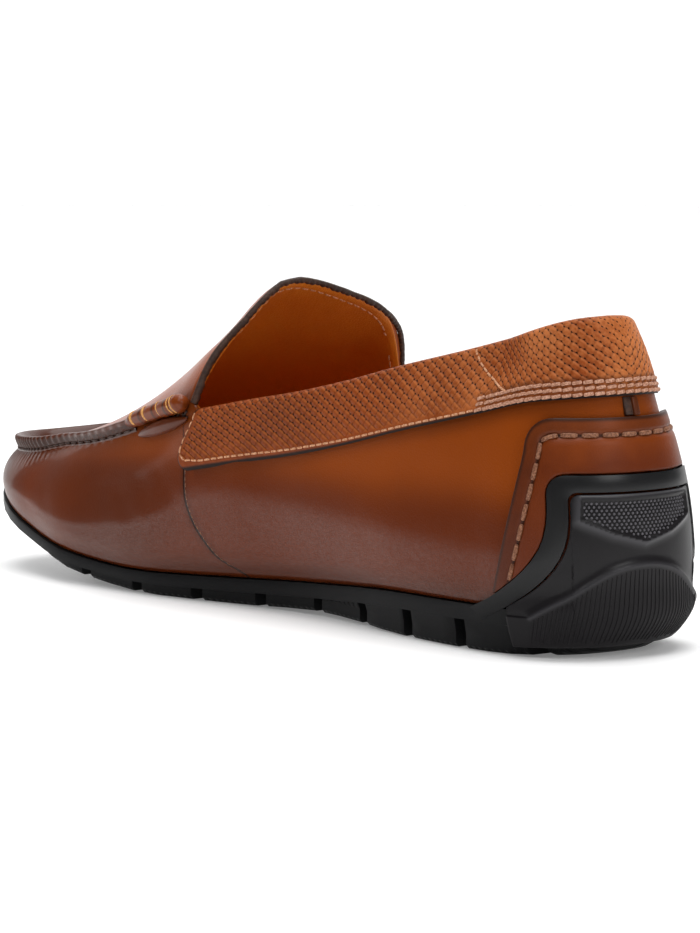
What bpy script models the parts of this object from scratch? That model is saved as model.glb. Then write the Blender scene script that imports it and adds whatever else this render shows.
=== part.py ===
"""Driving moccasin for a right foot, modelled in metres with +Z up.

X runs from heel to toe and +Y is the inner side of the foot. The shoe stands on its sole with the
toe sprung up. The upper is one hollow wall between the feather line, where it meets the sole, and
the top line, which is the collar at the back and the apron seam at the front. The collar band,
counter, heel frame and heel pad are laid on that same wall, and the sole goes down from the same
feather line.

A place round the shoe is a turn: 0 at the heel, 1 at the toe, positive on the inner side.
"""
import bpy
import numpy as np

# Sole and last
SOLE_LENGTH = 0.286
BALL_WIDTH = 0.095
TOE_SPRING = 0.023
SPRING_START = 0.64
FEATHER_HEIGHT = 0.0130
ARCH_LIFT = 0.0012
HEEL_POWER = 2.2
TOE_POWER = 2.0

# Top line and instep
COLLAR_HEIGHT = 0.0918
COLLAR_REAR = 0.0160
APRON_SETBACK = 0.005
APRON_FRONT = SOLE_LENGTH - APRON_SETBACK
VAMP_LENGTH = 0.118
THROAT = APRON_FRONT - VAMP_LENGTH
INSTEP_RISE = 0.0345
TONGUE_REACH = 0.009
TONGUE_POWER = 2.5
INNER_FULLNESS = 0.55
INNER_FADE = 16
TONGUE_SWEEP = 5.0
TONGUE_FADE = 3

# Leather
WALL = 0.0020
SEAT_GAP = 0.0003
FEATHER_INSET = 0.0008
COLLAR_DEPTH = 0.0185
COLLAR_HEEL_DEPTH = 0.0215
COLLAR_HEEL_SHARE = 0.05
COLLAR_END = 0.992
COLLAR_THICKNESS = 0.0014
COUNTER_THICKNESS = 0.0016
COUNTER_FLOOR = 0.0170
COUNTER_FOOT = 0.0455
COUNTER_HEAD = 0.0335
COUNTER_CORNER = 0.009
TAB_WIDTH = 0.0048
TAB_HEIGHT = 0.0046
BAND_FOOT = COLLAR_HEIGHT - COLLAR_HEEL_DEPTH
COUNTER_TOP = BAND_FOOT - TAB_HEIGHT - 4 * SEAT_GAP
TAB_THICKNESS = 0.0012
SEAM_WIDTH = 0.0046
SEAM_HEIGHT = 0.0022
SEAM_SEAT = 0.00045
SEAM_LENGTH = 0.077
SEAM_END = APRON_FRONT - SEAM_LENGTH
ROLL_RADIUS = 0.0021
ROLL_SETBACK = 0.005
ROLL_WRAPS = 4
ROLL_SIDES = 8
WRAP_SWELL = 0.0005
INSOLE_THICKNESS = 0.0025
INSOLE_CLEARANCE = 0.0006

# Rubber
RAND_HEIGHT = 0.0044
LUG_INSET = 0.0015
LUG_TAPER = 0.0007
LUG_BEVEL = 0.0010
HEEL_TUCK = 0.0105
TUCK_SPREAD = 0.7
TUCK_ROUND = 1.5
LUG_GAP = 0.0043
LUG_PITCH = 0.0245
LUG_FIRST = 0.0200
LUG_COUNT = 10
FRAME_TOP = 0.0495
FRAME_HEAD = 0.0275
FRAME_FOOT = 0.056
FRAME_WIDTH = 0.0052
FRAME_CORNER = 0.005
FRAME_FLOOR = 0.0121
FRAME_FLARE = 3.0
FRAME_RISE = 3.0
RIBBON_FOOT = FEATHER_HEIGHT - RAND_HEIGHT + 3 * SEAT_GAP
FRAME_THICKNESS = 0.0023
FRAME_FEATHERED = 0.0007
PAD_THICKNESS = 0.0022
PAD_FLOOR = 0.0030
PAD_SHOULDER = 0.0140
PAD_SWELL_HEIGHT = 0.0220
PAD_FOOT_THICKNESS = 0.0008
PAD_ROWS = 11

# Colour and roughness of each material
UPPER_LEATHER = ((0.30, 0.11, 0.035), 0.40)
BAND_LEATHER = ((0.36, 0.14, 0.045), 0.50)
TRIM_LEATHER = ((0.23, 0.08, 0.03), 0.45)
INSOLE_LEATHER = ((0.45, 0.19, 0.05), 0.55)
SOLE_RUBBER = ((0.035, 0.035, 0.037), 0.62)
PAD_RUBBER = ((0.045, 0.045, 0.045), 0.70)

# How finely the wall is divided
REAR_STATIONS = 19
FRONT_STATIONS = 17
WALL_ROWS = 9
PLUG_COLUMNS = 12


def table(columns, *rows):
    return dict(zip(columns.split(), np.array(rows, float).T))


# Sole outline: shares of the sole length and of the ball width
PLAN = table(
    "share centre half",
    (0.000, 0.000, 0.305),
    (0.100, 0.000, 0.312),
    (0.170, 0.002, 0.320),
    (0.270, 0.000, 0.305),
    (0.340, -0.020, 0.292),
    (0.410, -0.042, 0.294),
    (0.480, -0.062, 0.330),
    (0.540, -0.079, 0.384),
    (0.680, -0.105, 0.489),
    (0.780, -0.084, 0.489),
    (0.875, -0.035, 0.412),
    (0.940, 0.010, 0.380),
    (1.000, 0.050, 0.365),
)
PLAN_ENDS = (0.100, 0.140)

# Feather line and rand: shares of the feather height, the rand height and the arch lift
EDGE = table(
    "share feather rand arch",
    (0.00, 1.00, 1.00, 0.0),
    (0.24, 0.96, 1.00, 0.0),
    (0.41, 0.74, 0.95, 1.0),
    (0.54, 0.60, 0.85, 0.0),
    (0.70, 0.50, 0.75, 0.0),
    (1.00, 0.36, 0.65, 0.0),
)

# Top line: shares of its own length, of the ball width and of the collar height
TOP = table(
    "share centre half height",
    (0.000, 0.030, 0.155, 1.000),
    (0.043, 0.026, 0.162, 0.953),
    (0.125, 0.012, 0.208, 0.892),
    (0.222, 0.000, 0.258, 0.828),
    (0.307, -0.010, 0.297, 0.767),
    (0.400, -0.025, 0.341, 0.715),
    (0.471, -0.041, 0.378, 0.685),
    (0.553, -0.056, 0.417, 0.643),
    (0.624, -0.060, 0.419, 0.582),
    (0.706, -0.058, 0.406, 0.515),
    (0.769, -0.045, 0.373, 0.479),
    (0.840, -0.021, 0.321, 0.451),
    (0.933, 0.021, 0.262, 0.420),
    (1.000, 0.050, 0.240, 0.406),
)
TOP_ENDS = (0.070, 0.125)

# Side of the wall: how late it leans to the top line, and its swell as a share of the ball width
SIDE = table(
    "share lean swell",
    (0.00, 2.0, 0.016),
    (0.15, 2.0, 0.014),
    (0.41, 1.2, 0.036),
    (0.55, 1.3, 0.032),
    (0.70, 1.8, 0.026),
    (0.85, 1.9, 0.022),
    (1.00, 1.8, 0.024),
)

# Crown of the apron above the seam: shares of the top line and of the instep rise
CROWN = table(
    "share rise",
    (0.549, 1.000),
    (0.587, 0.985),
    (0.613, 0.870),
    (0.654, 0.630),
    (0.698, 0.500),
    (0.739, 0.375),
    (0.784, 0.260),
    (0.829, 0.155),
    (0.873, 0.090),
    (0.929, 0.040),
    (1.000, 0.000),
)


def follow(rows, column, share):
    """Value of a column at a share, on a smooth curve that doesn't overshoot the rows."""
    place = rows["share"]
    value = rows[column]
    step = np.diff(place)
    slope = np.diff(value) / step
    product = slope[:-1] * slope[1:]
    total = np.where(product > 0, slope[:-1] + slope[1:], 1.0)
    inner = np.where(product > 0, 2 * product / total, 0.0)
    tangent = np.concatenate([slope[:1], inner, slope[-1:]])
    at = np.clip(share, place[0], place[-1])
    row = np.clip(np.searchsorted(place, at, side="right") - 1, 0, len(step) - 1)
    width = step[row]
    t = (at - place[row]) / width
    start = value[row] * (1 + 2 * t) * (1 - t) ** 2 + value[row + 1] * t * t * (3 - 2 * t)
    return start + width * t * (1 - t) * (tangent[row] * (1 - t) - tangent[row + 1] * t)


def unit(vectors):
    return vectors / np.linalg.norm(vectors, axis=-1, keepdims=True)


def wrap(turn):
    return (np.asarray(turn, float) + 1) % 2 - 1


def share_at(turn):
    """Share of the length at a turn, closer together at heel and toe."""
    return 0.5 - 0.5 * np.cos(np.pi * np.abs(turn))


def turn_at(share):
    return np.arccos(1 - 2 * share) / np.pi


def rounding(share, ends):
    heel = np.clip(1 - share / ends[0], 0, 1)
    toe = np.clip(1 - (1 - share) / ends[1], 0, 1)
    heel_curve = (1 - heel ** HEEL_POWER) ** (1 / HEEL_POWER)
    return heel_curve * (1 - toe ** TOE_POWER) ** (1 / TOE_POWER)


def flat_line(turn, rows, ends, rear, front):
    turn = wrap(turn)
    share = share_at(turn)
    half = follow(rows, "half", share) * rounding(share, ends)
    across = (follow(rows, "centre", share) + np.sign(turn) * half) * BALL_WIDTH
    return np.stack([rear + (front - rear) * share, across], axis=-1)


def sole_line(turn):
    return flat_line(turn, PLAN, PLAN_ENDS, 0.0, SOLE_LENGTH)


def outward(turn):
    """Level direction away from the sole outline."""
    nudge = 0.004
    along = sole_line(np.asarray(turn) + nudge) - sole_line(np.asarray(turn) - nudge)
    return unit(np.stack([-along[..., 1], along[..., 0]], axis=-1))


def spring(share):
    lift = np.clip((share - SPRING_START) / (1 - SPRING_START), 0, 1)
    return TOE_SPRING * lift ** 2


def ground(share):
    return spring(share) + ARCH_LIFT * follow(EDGE, "arch", share)


def feather(share):
    return spring(share) + FEATHER_HEIGHT * follow(EDGE, "feather", share)


def heel_tuck(turn, height):
    """How far the back of the heel rounds in under the feather line."""
    back = np.clip(1 - share_at(wrap(turn)) / PLAN_ENDS[0], 0, 1) ** TUCK_SPREAD
    return HEEL_TUCK * back * np.clip(1 - height / FEATHER_HEIGHT, 0, 1) ** TUCK_ROUND


def outline_at(turn, offset, height):
    """Point on the sole outline, moved out level by offset, at a height."""
    flat = sole_line(turn) + outward(turn) * np.asarray(offset)[..., None]
    return np.concatenate([flat, np.asarray(height)[..., None]], axis=-1)


def top_line(turn):
    flat = flat_line(turn, TOP, TOP_ENDS, COLLAR_REAR, APRON_FRONT)
    height = COLLAR_HEIGHT * follow(TOP, "height", share_at(wrap(turn)))
    return np.concatenate([flat, height[..., None]], axis=-1)


def wall(turn, rise):
    """Outer face of the upper: rise 0 at the feather line and 1 at the top line."""
    turn, rise = np.broadcast_arrays(np.asarray(turn, float), np.asarray(rise, float))
    share = share_at(wrap(turn))
    inset = np.full(turn.shape, -FEATHER_INSET)
    foot = outline_at(turn, inset, feather(share) + SEAT_GAP)
    head = top_line(turn)
    blend = rise ** follow(SIDE, "lean", share)
    swell = 4 * rise * (1 - rise) * follow(SIDE, "swell", share) * BALL_WIDTH
    flat = foot[..., :2] + (head - foot)[..., :2] * blend[..., None]
    flat = flat + outward(turn) * swell[..., None]
    height = foot[..., 2] + (head - foot)[..., 2] * rise
    return np.concatenate([flat, height[..., None]], axis=-1)


def skin(turn, height, offset):
    """Point at a height on the wall, or straight below it, moved out by offset."""
    turn, height, offset = np.broadcast_arrays(*(np.asarray(v, float) for v in (turn, height, offset)))
    foot = wall(turn, 0.0)[..., 2]
    head = wall(turn, 1.0)[..., 2]
    rise = np.clip((height - foot) / (head - foot), 0.0, 1.0)
    nudge = 0.003
    low = np.clip(rise, nudge, 1 - nudge)
    up = wall(turn, low + nudge) - wall(turn, low - nudge)
    along = wall(turn + nudge, low) - wall(turn - nudge, low)
    normal = unit(np.cross(up, along))
    point = wall(turn, rise) + normal * offset[..., None]
    point[..., :2] -= outward(turn) * heel_tuck(turn, height)[..., None]
    point[..., 2] = np.where(height < foot, height, point[..., 2])
    return point


def stations():
    """Turns round the shoe, with a station on each side of the throat."""
    throat = turn_at((THROAT - COLLAR_REAR) / (APRON_FRONT - COLLAR_REAR))
    rear = np.linspace(0, throat, REAR_STATIONS + 1)
    front = np.linspace(throat, 1, FRONT_STATIONS + 1)[1:]
    inner = np.concatenate([rear, front])
    return np.concatenate([inner, -inner[-2:0:-1]])


TURNS = stations()
RING = len(TURNS)
TOE = REAR_STATIONS + FRONT_STATIONS


def grid_faces(columns, rows, closed=False):
    """Faces of a sheet whose points run up each column, facing out of the shoe."""
    faces = []
    for c in range(columns if closed else columns - 1):
        near = c * rows
        far = (c + 1) % columns * rows
        for r in range(rows - 1):
            faces.append((near + r, near + r + 1, far + r + 1, far + r))
    return faces


def point_normals(points, faces):
    """Mean facing of the faces round each point."""
    normals = np.zeros_like(points)
    for face in faces:
        corners = points[list(face)]
        middle = corners.mean(axis=0)
        facing = sum(np.cross(a - middle, b - middle) for a, b in zip(corners, np.roll(corners, -1, 0)))
        for index in face:
            normals[index] += facing
    length = np.linalg.norm(normals, axis=1, keepdims=True)
    return normals / np.where(length > 0, length, 1.0)


def make_object(name, points, faces, finish):
    mesh = bpy.data.meshes.new(name)
    mesh.from_pydata([tuple(p) for p in points], [], faces)
    mesh.update()
    mesh.shade_smooth()
    mesh.set_sharp_from_angle(angle=np.radians(40))
    colour, roughness = finish
    material = bpy.data.materials.new(name)
    material.use_nodes = True
    shader = material.node_tree.nodes["Principled BSDF"]
    shader.inputs["Base Color"].default_value = (*colour, 1.0)
    shader.inputs["Roughness"].default_value = roughness
    shader.inputs["Metallic"].default_value = 0.0
    mesh.materials.append(material)
    piece = bpy.data.objects.new(name, mesh)
    bpy.context.scene.collection.objects.link(piece)
    return piece


def close_sheet(outer, inner, faces):
    """Points and faces of a solid between two sheets with the same faces."""
    count = len(outer)
    solid = list(faces) + [tuple(i + count for i in reversed(face)) for face in faces]
    edges = {(a, b) for face in faces for a, b in zip(face, face[1:] + face[:1])}
    solid += [(b, a, a + count, b + count) for a, b in sorted(edges) if (b, a) not in edges]
    return np.concatenate([outer, inner]), solid


def ring_solid(rings):
    """Points and faces of a solid through level rings from the top down, with both ends closed."""
    points = np.concatenate(rings)
    faces = []
    for level in range(len(rings) - 1):
        for i in range(RING):
            j = (i + 1) % RING
            high = level * RING
            faces.append((high + i, high + j, high + RING + j, high + RING + i))
    last = (len(rings) - 1) * RING
    for k in range(TOE):
        left = [k, k + 1]
        right = [(RING - k - 1) % RING, (RING - k) % RING]
        strip = [i for n, i in enumerate(left + right) if i not in (left + right)[:n]]
        faces.append(tuple(reversed(strip)))
        faces.append(tuple(i + last for i in strip))
    return points, faces


def apron_points():
    """Inner points of the apron's arcs, from the throat to the toe, and the tongue's edge."""
    columns = np.linspace(1, -1, PLUG_COLUMNS + 1)[1:-1]
    points = []
    for k in range(REAR_STATIONS, TOE):
        inner_end = top_line(TURNS[k])
        outer_end = top_line(TURNS[RING - k])
        share = share_at(TURNS[k])
        rise = follow(CROWN, "rise", share)
        back = TONGUE_REACH * np.clip(rise, 0, 1) ** TONGUE_FADE
        for v in columns:
            point = inner_end * (1 + v) / 2 + outer_end * (1 - v) / 2
            plain = 1 - v * v
            full = (1 - abs(v) ** TONGUE_POWER) ** (1 / TONGUE_POWER)
            arch = plain + (full - plain) * (INNER_FULLNESS * rise ** INNER_FADE if v > 0 else rise)
            point[2] += INSTEP_RISE * rise * arch
            point[0] -= back * (plain if v > 0 else 1 - abs(v) ** TONGUE_SWEEP)
            points.append(point)
    return np.array(points)


def upper_sheet():
    """Outer points of the upper, its side faces and its apron faces."""
    rises = np.linspace(0, 1, WALL_ROWS + 1)
    side = wall(TURNS[:, None], rises[None, :]).reshape(-1, 3)
    rows = WALL_ROWS + 1
    side_faces = grid_faces(RING, rows, closed=True)
    inner_count = PLUG_COLUMNS - 1

    def arc(k):
        ends = (k * rows + WALL_ROWS, (RING - k) * rows + WALL_ROWS)
        if k == TOE:
            return [ends[0]]
        first = len(side) + (k - REAR_STATIONS) * inner_count
        return [ends[0], *range(first, first + inner_count), ends[1]]

    apron_faces = []
    for k in range(REAR_STATIONS, TOE):
        near = arc(k)
        far = arc(k + 1)
        for c in range(PLUG_COLUMNS):
            if len(far) == 1:
                apron_faces.append((near[c], near[c + 1], far[0]))
            else:
                apron_faces.append((near[c], near[c + 1], far[c + 1], far[c]))
    return np.concatenate([side, apron_points()]), side_faces, apron_faces


def make_upper():
    outer, side_faces, apron_faces = upper_sheet()
    faces = side_faces + apron_faces
    inner = outer - point_normals(outer, faces) * WALL
    bottom = np.arange(RING) * (WALL_ROWS + 1)
    inner[bottom, 2] = outer[bottom, 2]
    return make_object("upper", *close_sheet(outer, inner, faces), UPPER_LEATHER)


def sheet_object(name, turns, heights, seat, thickness, finish):
    """A sheet laid on the wall: turns and heights are grids with a row for each column."""
    columns, rows = turns.shape
    inner = skin(turns, heights, seat).reshape(-1, 3)
    outer = skin(turns, heights, seat + thickness).reshape(-1, 3)
    faces = grid_faces(columns, rows)
    return make_object(name, *close_sheet(outer, inner, faces), finish)


def turn_at_reach(reach):
    """Turn at a distance round the sole outline from the middle of the heel."""
    turns = np.linspace(0, 0.6, 600)
    steps = np.linalg.norm(np.diff(sole_line(turns), axis=0), axis=1)
    run = np.concatenate([[0], np.cumsum(steps)])
    return np.sign(reach) * np.interp(np.abs(reach), run, turns)


def make_collar_band():
    front = TURNS[REAR_STATIONS] * COLLAR_END
    turns = np.linspace(-front, front, 2 * REAR_STATIONS + 3)
    share = share_at(turns)
    head = top_line(turns)[:, 2]
    extra = (COLLAR_HEEL_DEPTH - COLLAR_DEPTH) * np.clip(1 - share / COLLAR_HEEL_SHARE, 0, 1)
    depth = COLLAR_DEPTH + extra
    low = np.linspace(1, 0, 5)
    heights = head[:, None] - depth[:, None] * low[None, :]
    grid = np.repeat(turns[:, None], len(low), axis=1)
    return sheet_object("collar_band", grid, heights, SEAT_GAP, COLLAR_THICKNESS, BAND_LEATHER)


def make_heel_tab():
    low = COUNTER_TOP + 2 * SEAT_GAP
    high = BAND_FOOT - 2 * SEAT_GAP
    turns = turn_at_reach(np.linspace(-TAB_WIDTH / 2, TAB_WIDTH / 2, 4))
    grid = np.repeat(turns[:, None], 3, axis=1)
    heights = np.repeat(np.linspace(low, high, 3)[None, :], 4, axis=0)
    return sheet_object("heel_tab", grid, heights, SEAT_GAP, TAB_THICKNESS, TRIM_LEATHER)


def make_insole():
    inset = -(FEATHER_INSET + WALL + INSOLE_CLEARANCE) * np.ones(RING)
    seat = feather(share_at(TURNS)) + SEAT_GAP
    rings = [outline_at(TURNS, inset, seat + INSOLE_THICKNESS), outline_at(TURNS, inset, seat)]
    return make_object("insole", *ring_solid(rings), INSOLE_LEATHER)


def as_tool(piece):
    """Marks a shape that only joins or cuts another."""
    piece.hide_render = True
    piece.display_type = "WIRE"
    return piece


def lug_cutter():
    """The gaps between the lugs, as one cutter across the sole."""
    points = []
    faces = []
    corners = [(x, y, z) for x in (-0.5, 0.5) for y in (-0.5, 0.5) for z in (0, 1)]
    box = [(0, 1, 3, 2), (4, 6, 7, 5), (0, 4, 5, 1), (2, 3, 7, 6), (0, 2, 6, 4), (1, 5, 7, 3)]
    for gap in range(LUG_COUNT):
        middle = LUG_FIRST + LUG_PITCH * gap
        share = middle / SOLE_LENGTH
        roof = feather(share) - RAND_HEIGHT * follow(EDGE, "rand", share) - SEAT_GAP
        start = len(points)
        for x, y, z in corners:
            points.append((middle + x * LUG_GAP, y * 2 * BALL_WIDTH, roof * z - (1 - z) * LUG_BEVEL))
        faces += [tuple(start + i for i in face) for face in box]
    return as_tool(make_object("lug_cutter", points, faces, SOLE_RUBBER))


def edge_path(foot, head, top, corner, floor, flare, start, count=12):
    """Reach and height along an arched edge over the heel, from its foot to the middle of its top."""
    height = np.linspace(start, top - corner, count)
    leg = (height - floor) / (top - corner - floor)
    reach = head + (foot - head) * (1 - leg) ** flare
    bend = np.linspace(0, np.pi / 2, count // 2 + 1)[1:]
    corner_reach = head - corner * (1 - np.cos(bend))
    corner_height = top - corner * (1 - np.sin(bend))
    across = np.linspace(head - corner, 0, count // 2 + 1)[1:]
    return (np.concatenate([reach, corner_reach, across]),
            np.concatenate([height, corner_height, np.full(len(across), top)]))


def arch_band(inner_edge, outer_edge, columns):
    """Turns and heights of a band over the heel between two arched edges."""
    across = np.linspace(0, 1, columns)[None, :]
    reach = inner_edge[0][:, None] * (1 - across) + outer_edge[0][:, None] * across
    height = inner_edge[1][:, None] * (1 - across) + outer_edge[1][:, None] * across
    reach = np.concatenate([-reach, reach[-2::-1]])
    return turn_at_reach(reach), np.concatenate([height, height[-2::-1]])


def frame_outer_edge(gap, start):
    return edge_path(FRAME_FOOT + gap, FRAME_HEAD + gap, FRAME_TOP + gap, FRAME_CORNER + gap,
                     FRAME_FLOOR, FRAME_FLARE, start)


def make_heel_counter():
    """The leather overlay that arches over the heel frame."""
    inner_edge = frame_outer_edge(2 * SEAT_GAP, COUNTER_FLOOR)
    outer_edge = edge_path(COUNTER_FOOT, COUNTER_HEAD, COUNTER_TOP, COUNTER_CORNER,
                           COUNTER_FLOOR, 1.0, COUNTER_FLOOR)
    turns, heights = arch_band(inner_edge, outer_edge, 6)
    return sheet_object("heel_counter", turns, heights, SEAT_GAP, COUNTER_THICKNESS, TRIM_LEATHER)


def make_heel_frame():
    """The rand's ribbon that climbs each side of the heel and crosses it."""
    inner_edge = edge_path(FRAME_FOOT - FRAME_WIDTH, FRAME_HEAD - FRAME_WIDTH,
                           FRAME_TOP - RAND_HEIGHT, FRAME_CORNER / 2,
                           RIBBON_FOOT, FRAME_FLARE, RIBBON_FOOT)
    turns, heights = arch_band(inner_edge, frame_outer_edge(0.0, FRAME_FLOOR), 3)
    climb = np.clip((heights - FEATHER_HEIGHT) / (FRAME_TOP - FEATHER_HEIGHT) * FRAME_RISE, 0, 1)
    thickness = FRAME_FEATHERED + (FRAME_THICKNESS - FRAME_FEATHERED) * climb
    return as_tool(sheet_object("heel_frame", turns, heights, SEAT_GAP, thickness, SOLE_RUBBER))


def make_outsole():
    share = share_at(TURNS)
    level = np.zeros(RING)
    rand_top = feather(share)
    rand_foot = rand_top - RAND_HEIGHT * follow(EDGE, "rand", share)
    tread = ground(share)
    edge = level - LUG_INSET - LUG_TAPER
    rings = [
        outline_at(TURNS, level, rand_top),
        outline_at(TURNS, level - heel_tuck(TURNS, rand_foot), rand_foot),
        outline_at(TURNS, level - LUG_INSET - heel_tuck(TURNS, rand_foot), rand_foot - SEAT_GAP),
        outline_at(TURNS, edge - heel_tuck(TURNS, tread + 4 * LUG_BEVEL), tread + 4 * LUG_BEVEL),
        outline_at(TURNS, edge - heel_tuck(TURNS, tread + LUG_BEVEL), tread + LUG_BEVEL),
        outline_at(TURNS, edge - LUG_BEVEL - heel_tuck(TURNS, tread), tread),
    ]
    sole = make_object("outsole", *ring_solid(rings), SOLE_RUBBER)
    for label, operation, tool in (("ribbon", "UNION", make_heel_frame()),
                                   ("lug gaps", "DIFFERENCE", lug_cutter())):
        boolean = sole.modifiers.new(label, "BOOLEAN")
        boolean.operation = operation
        boolean.object = tool
    return sole


def make_heel_pad():
    """The raised rubber pad inside the frame, from its top to the ground, tucked under at the foot."""
    gap = 2 * SEAT_GAP
    reach, crest = edge_path(FRAME_FOOT - FRAME_WIDTH - gap, FRAME_HEAD - FRAME_WIDTH - gap,
                             FRAME_TOP - RAND_HEIGHT - gap, FRAME_CORNER / 2 - gap / 2,
                             RIBBON_FOOT, FRAME_FLARE, PAD_SHOULDER)
    rise = np.linspace(0, 1, PAD_ROWS)[None, :]
    reach = np.concatenate([-reach, reach[-2::-1]])
    crest = np.concatenate([crest, crest[-2::-1]])
    heights = PAD_FLOOR + (crest[:, None] - PAD_FLOOR) * rise
    turns = turn_at_reach(np.repeat(reach[:, None], PAD_ROWS, axis=1))
    low = np.clip(1 - (heights - FEATHER_HEIGHT) / FRAME_CORNER, 0, 1)
    seat = SEAT_GAP + (FEATHER_INSET + SEAT_GAP) * low
    sink = np.clip(1 - (heights - PAD_FLOOR) / (PAD_SWELL_HEIGHT - PAD_FLOOR), 0, 1)
    thickness = PAD_THICKNESS - (PAD_THICKNESS - PAD_FOOT_THICKNESS) * sink
    return sheet_object("heel_pad", turns, heights, seat, thickness, PAD_RUBBER)


def seam_frames():
    """Point, run, facing and half angle of the crease along the apron seam at each station."""
    outer, side_faces, apron_faces = upper_sheet()
    rows = WALL_ROWS + 1
    crease = np.arange(RING) * rows + WALL_ROWS
    side = point_normals(outer, side_faces)[crease]
    apron = point_normals(outer, apron_faces)[crease]
    points = outer[crease]
    run = unit(np.roll(points, -1, axis=0) - np.roll(points, 1, axis=0))
    facing = unit(side + np.where(np.linalg.norm(apron, axis=1, keepdims=True) > 0, apron, side))
    fall = np.arccos(np.clip(np.sum(facing * side, axis=1), -1, 1))
    return points, run, facing, fall


def make_moc_seam():
    """The raised edge of the sides, gathered over the apron and sewn to it."""
    points, run, facing, fall = seam_frames()
    keep = [i for i in range(REAR_STATIONS, RING - REAR_STATIONS + 1) if points[i, 0] > SEAM_END]
    half = SEAM_WIDTH / 2
    section = ((1, 0.0), (1, 0.55), (0.55, 1.0), (-0.55, 1.0), (-1, 0.55), (-1, 0.0), (0, 0.0))
    rows = []
    for i in keep:
        across = unit(np.cross(run[i], facing[i]))
        lift = SEAM_SEAT / np.cos(fall[i])
        for side, high in section:
            drop = abs(side) * half * np.tan(fall[i]) * (1 - high)
            place = across * side * half + facing[i] * (lift - drop + SEAM_HEIGHT * high)
            rows.append(points[i] + place)
    return tube_object("moc_seam", rows, len(section), TRIM_LEATHER)


def tube_object(name, points, sides, finish):
    """A closed solid through rings of points, one ring after another."""
    rings = len(points) // sides
    faces = []
    for ring in range(rings - 1):
        for s in range(sides):
            a = ring * sides + s
            b = ring * sides + (s + 1) % sides
            faces.append((a, b, b + sides, a + sides))
    faces.append(tuple(reversed(range(sides))))
    faces.append(tuple(range((rings - 1) * sides, rings * sides)))
    points = np.array(points)
    middle = points[:sides].mean(axis=0)
    around = np.cross(points[0] - middle, points[1] - middle)
    if np.dot(around, points[sides:2 * sides].mean(axis=0) - middle) < 0:
        faces = [tuple(reversed(face)) for face in faces]
    return make_object(name, points, faces, finish)


def make_seam_roll(name, side):
    """The rolled and whipped end of the seam, between the apron seam and the throat."""
    points, run, facing, _ = seam_frames()
    keep = slice(REAR_STATIONS, TOE) if side > 0 else slice(RING - REAR_STATIONS, TOE, -1)
    order = np.argsort(points[keep][:, 0])
    reach = points[keep][order, 0]
    front = SEAM_END - 4 * SEAT_GAP
    rear = THROAT + ROLL_SETBACK
    beads = ROLL_WRAPS * 4 + 1
    rings = []
    for bead in range(beads):
        x = rear + (front - rear) * bead / (beads - 1)
        spot, up, along = (np.array([np.interp(x, reach, row) for row in values[keep][order].T])
                           for values in (points, facing, run))
        across = unit(np.cross(along, up))
        up = unit(up)
        radius = ROLL_RADIUS + WRAP_SWELL * (1 if bead % 4 in (1, 2) else 0)
        middle = spot + up * (ROLL_RADIUS + WRAP_SWELL + SEAT_GAP)
        for spoke in np.linspace(0, 2 * np.pi, ROLL_SIDES + 1)[:-1]:
            rings.append(middle + (across * np.cos(spoke) + up * np.sin(spoke)) * radius)
    return tube_object(name, rings, ROLL_SIDES, TRIM_LEATHER)


def stand_on_floor(pieces):
    """Puts the middle of the whole shoe over the origin, with the tread on the floor."""
    solid = [piece for piece in pieces if not piece.hide_render]
    corners = np.array([v.co for piece in solid for v in piece.data.vertices])
    low = corners.min(axis=0)
    high = corners.max(axis=0)
    shift = -(low + high) / 2
    shift[2] = -low[2]
    for piece in pieces:
        piece.location = shift


def main():
    for item in list(bpy.data.objects):
        bpy.data.objects.remove(item)
    make_upper()
    make_collar_band()
    make_heel_counter()
    make_heel_tab()
    make_insole()
    make_outsole()
    make_heel_pad()
    make_moc_seam()
    make_seam_roll("seam_roll_inner", 1)
    make_seam_roll("seam_roll_outer", -1)
    stand_on_floor(list(bpy.data.objects))


main()
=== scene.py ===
import math

import bmesh
import bpy
import numpy as np
from mathutils import Matrix, Vector
from mathutils.bvhtree import BVHTree


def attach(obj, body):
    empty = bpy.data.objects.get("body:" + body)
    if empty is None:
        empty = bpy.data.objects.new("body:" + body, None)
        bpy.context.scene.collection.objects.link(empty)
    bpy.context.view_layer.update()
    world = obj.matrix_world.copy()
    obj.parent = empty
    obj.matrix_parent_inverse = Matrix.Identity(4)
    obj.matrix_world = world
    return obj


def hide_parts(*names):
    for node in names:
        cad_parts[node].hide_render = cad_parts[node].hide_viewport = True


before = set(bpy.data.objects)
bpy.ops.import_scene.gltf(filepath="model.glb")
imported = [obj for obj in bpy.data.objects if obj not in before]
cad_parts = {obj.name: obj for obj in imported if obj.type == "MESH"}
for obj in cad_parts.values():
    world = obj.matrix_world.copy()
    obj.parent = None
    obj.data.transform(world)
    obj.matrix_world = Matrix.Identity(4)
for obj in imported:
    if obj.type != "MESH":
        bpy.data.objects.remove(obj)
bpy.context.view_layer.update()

MM = 0.001

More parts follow.
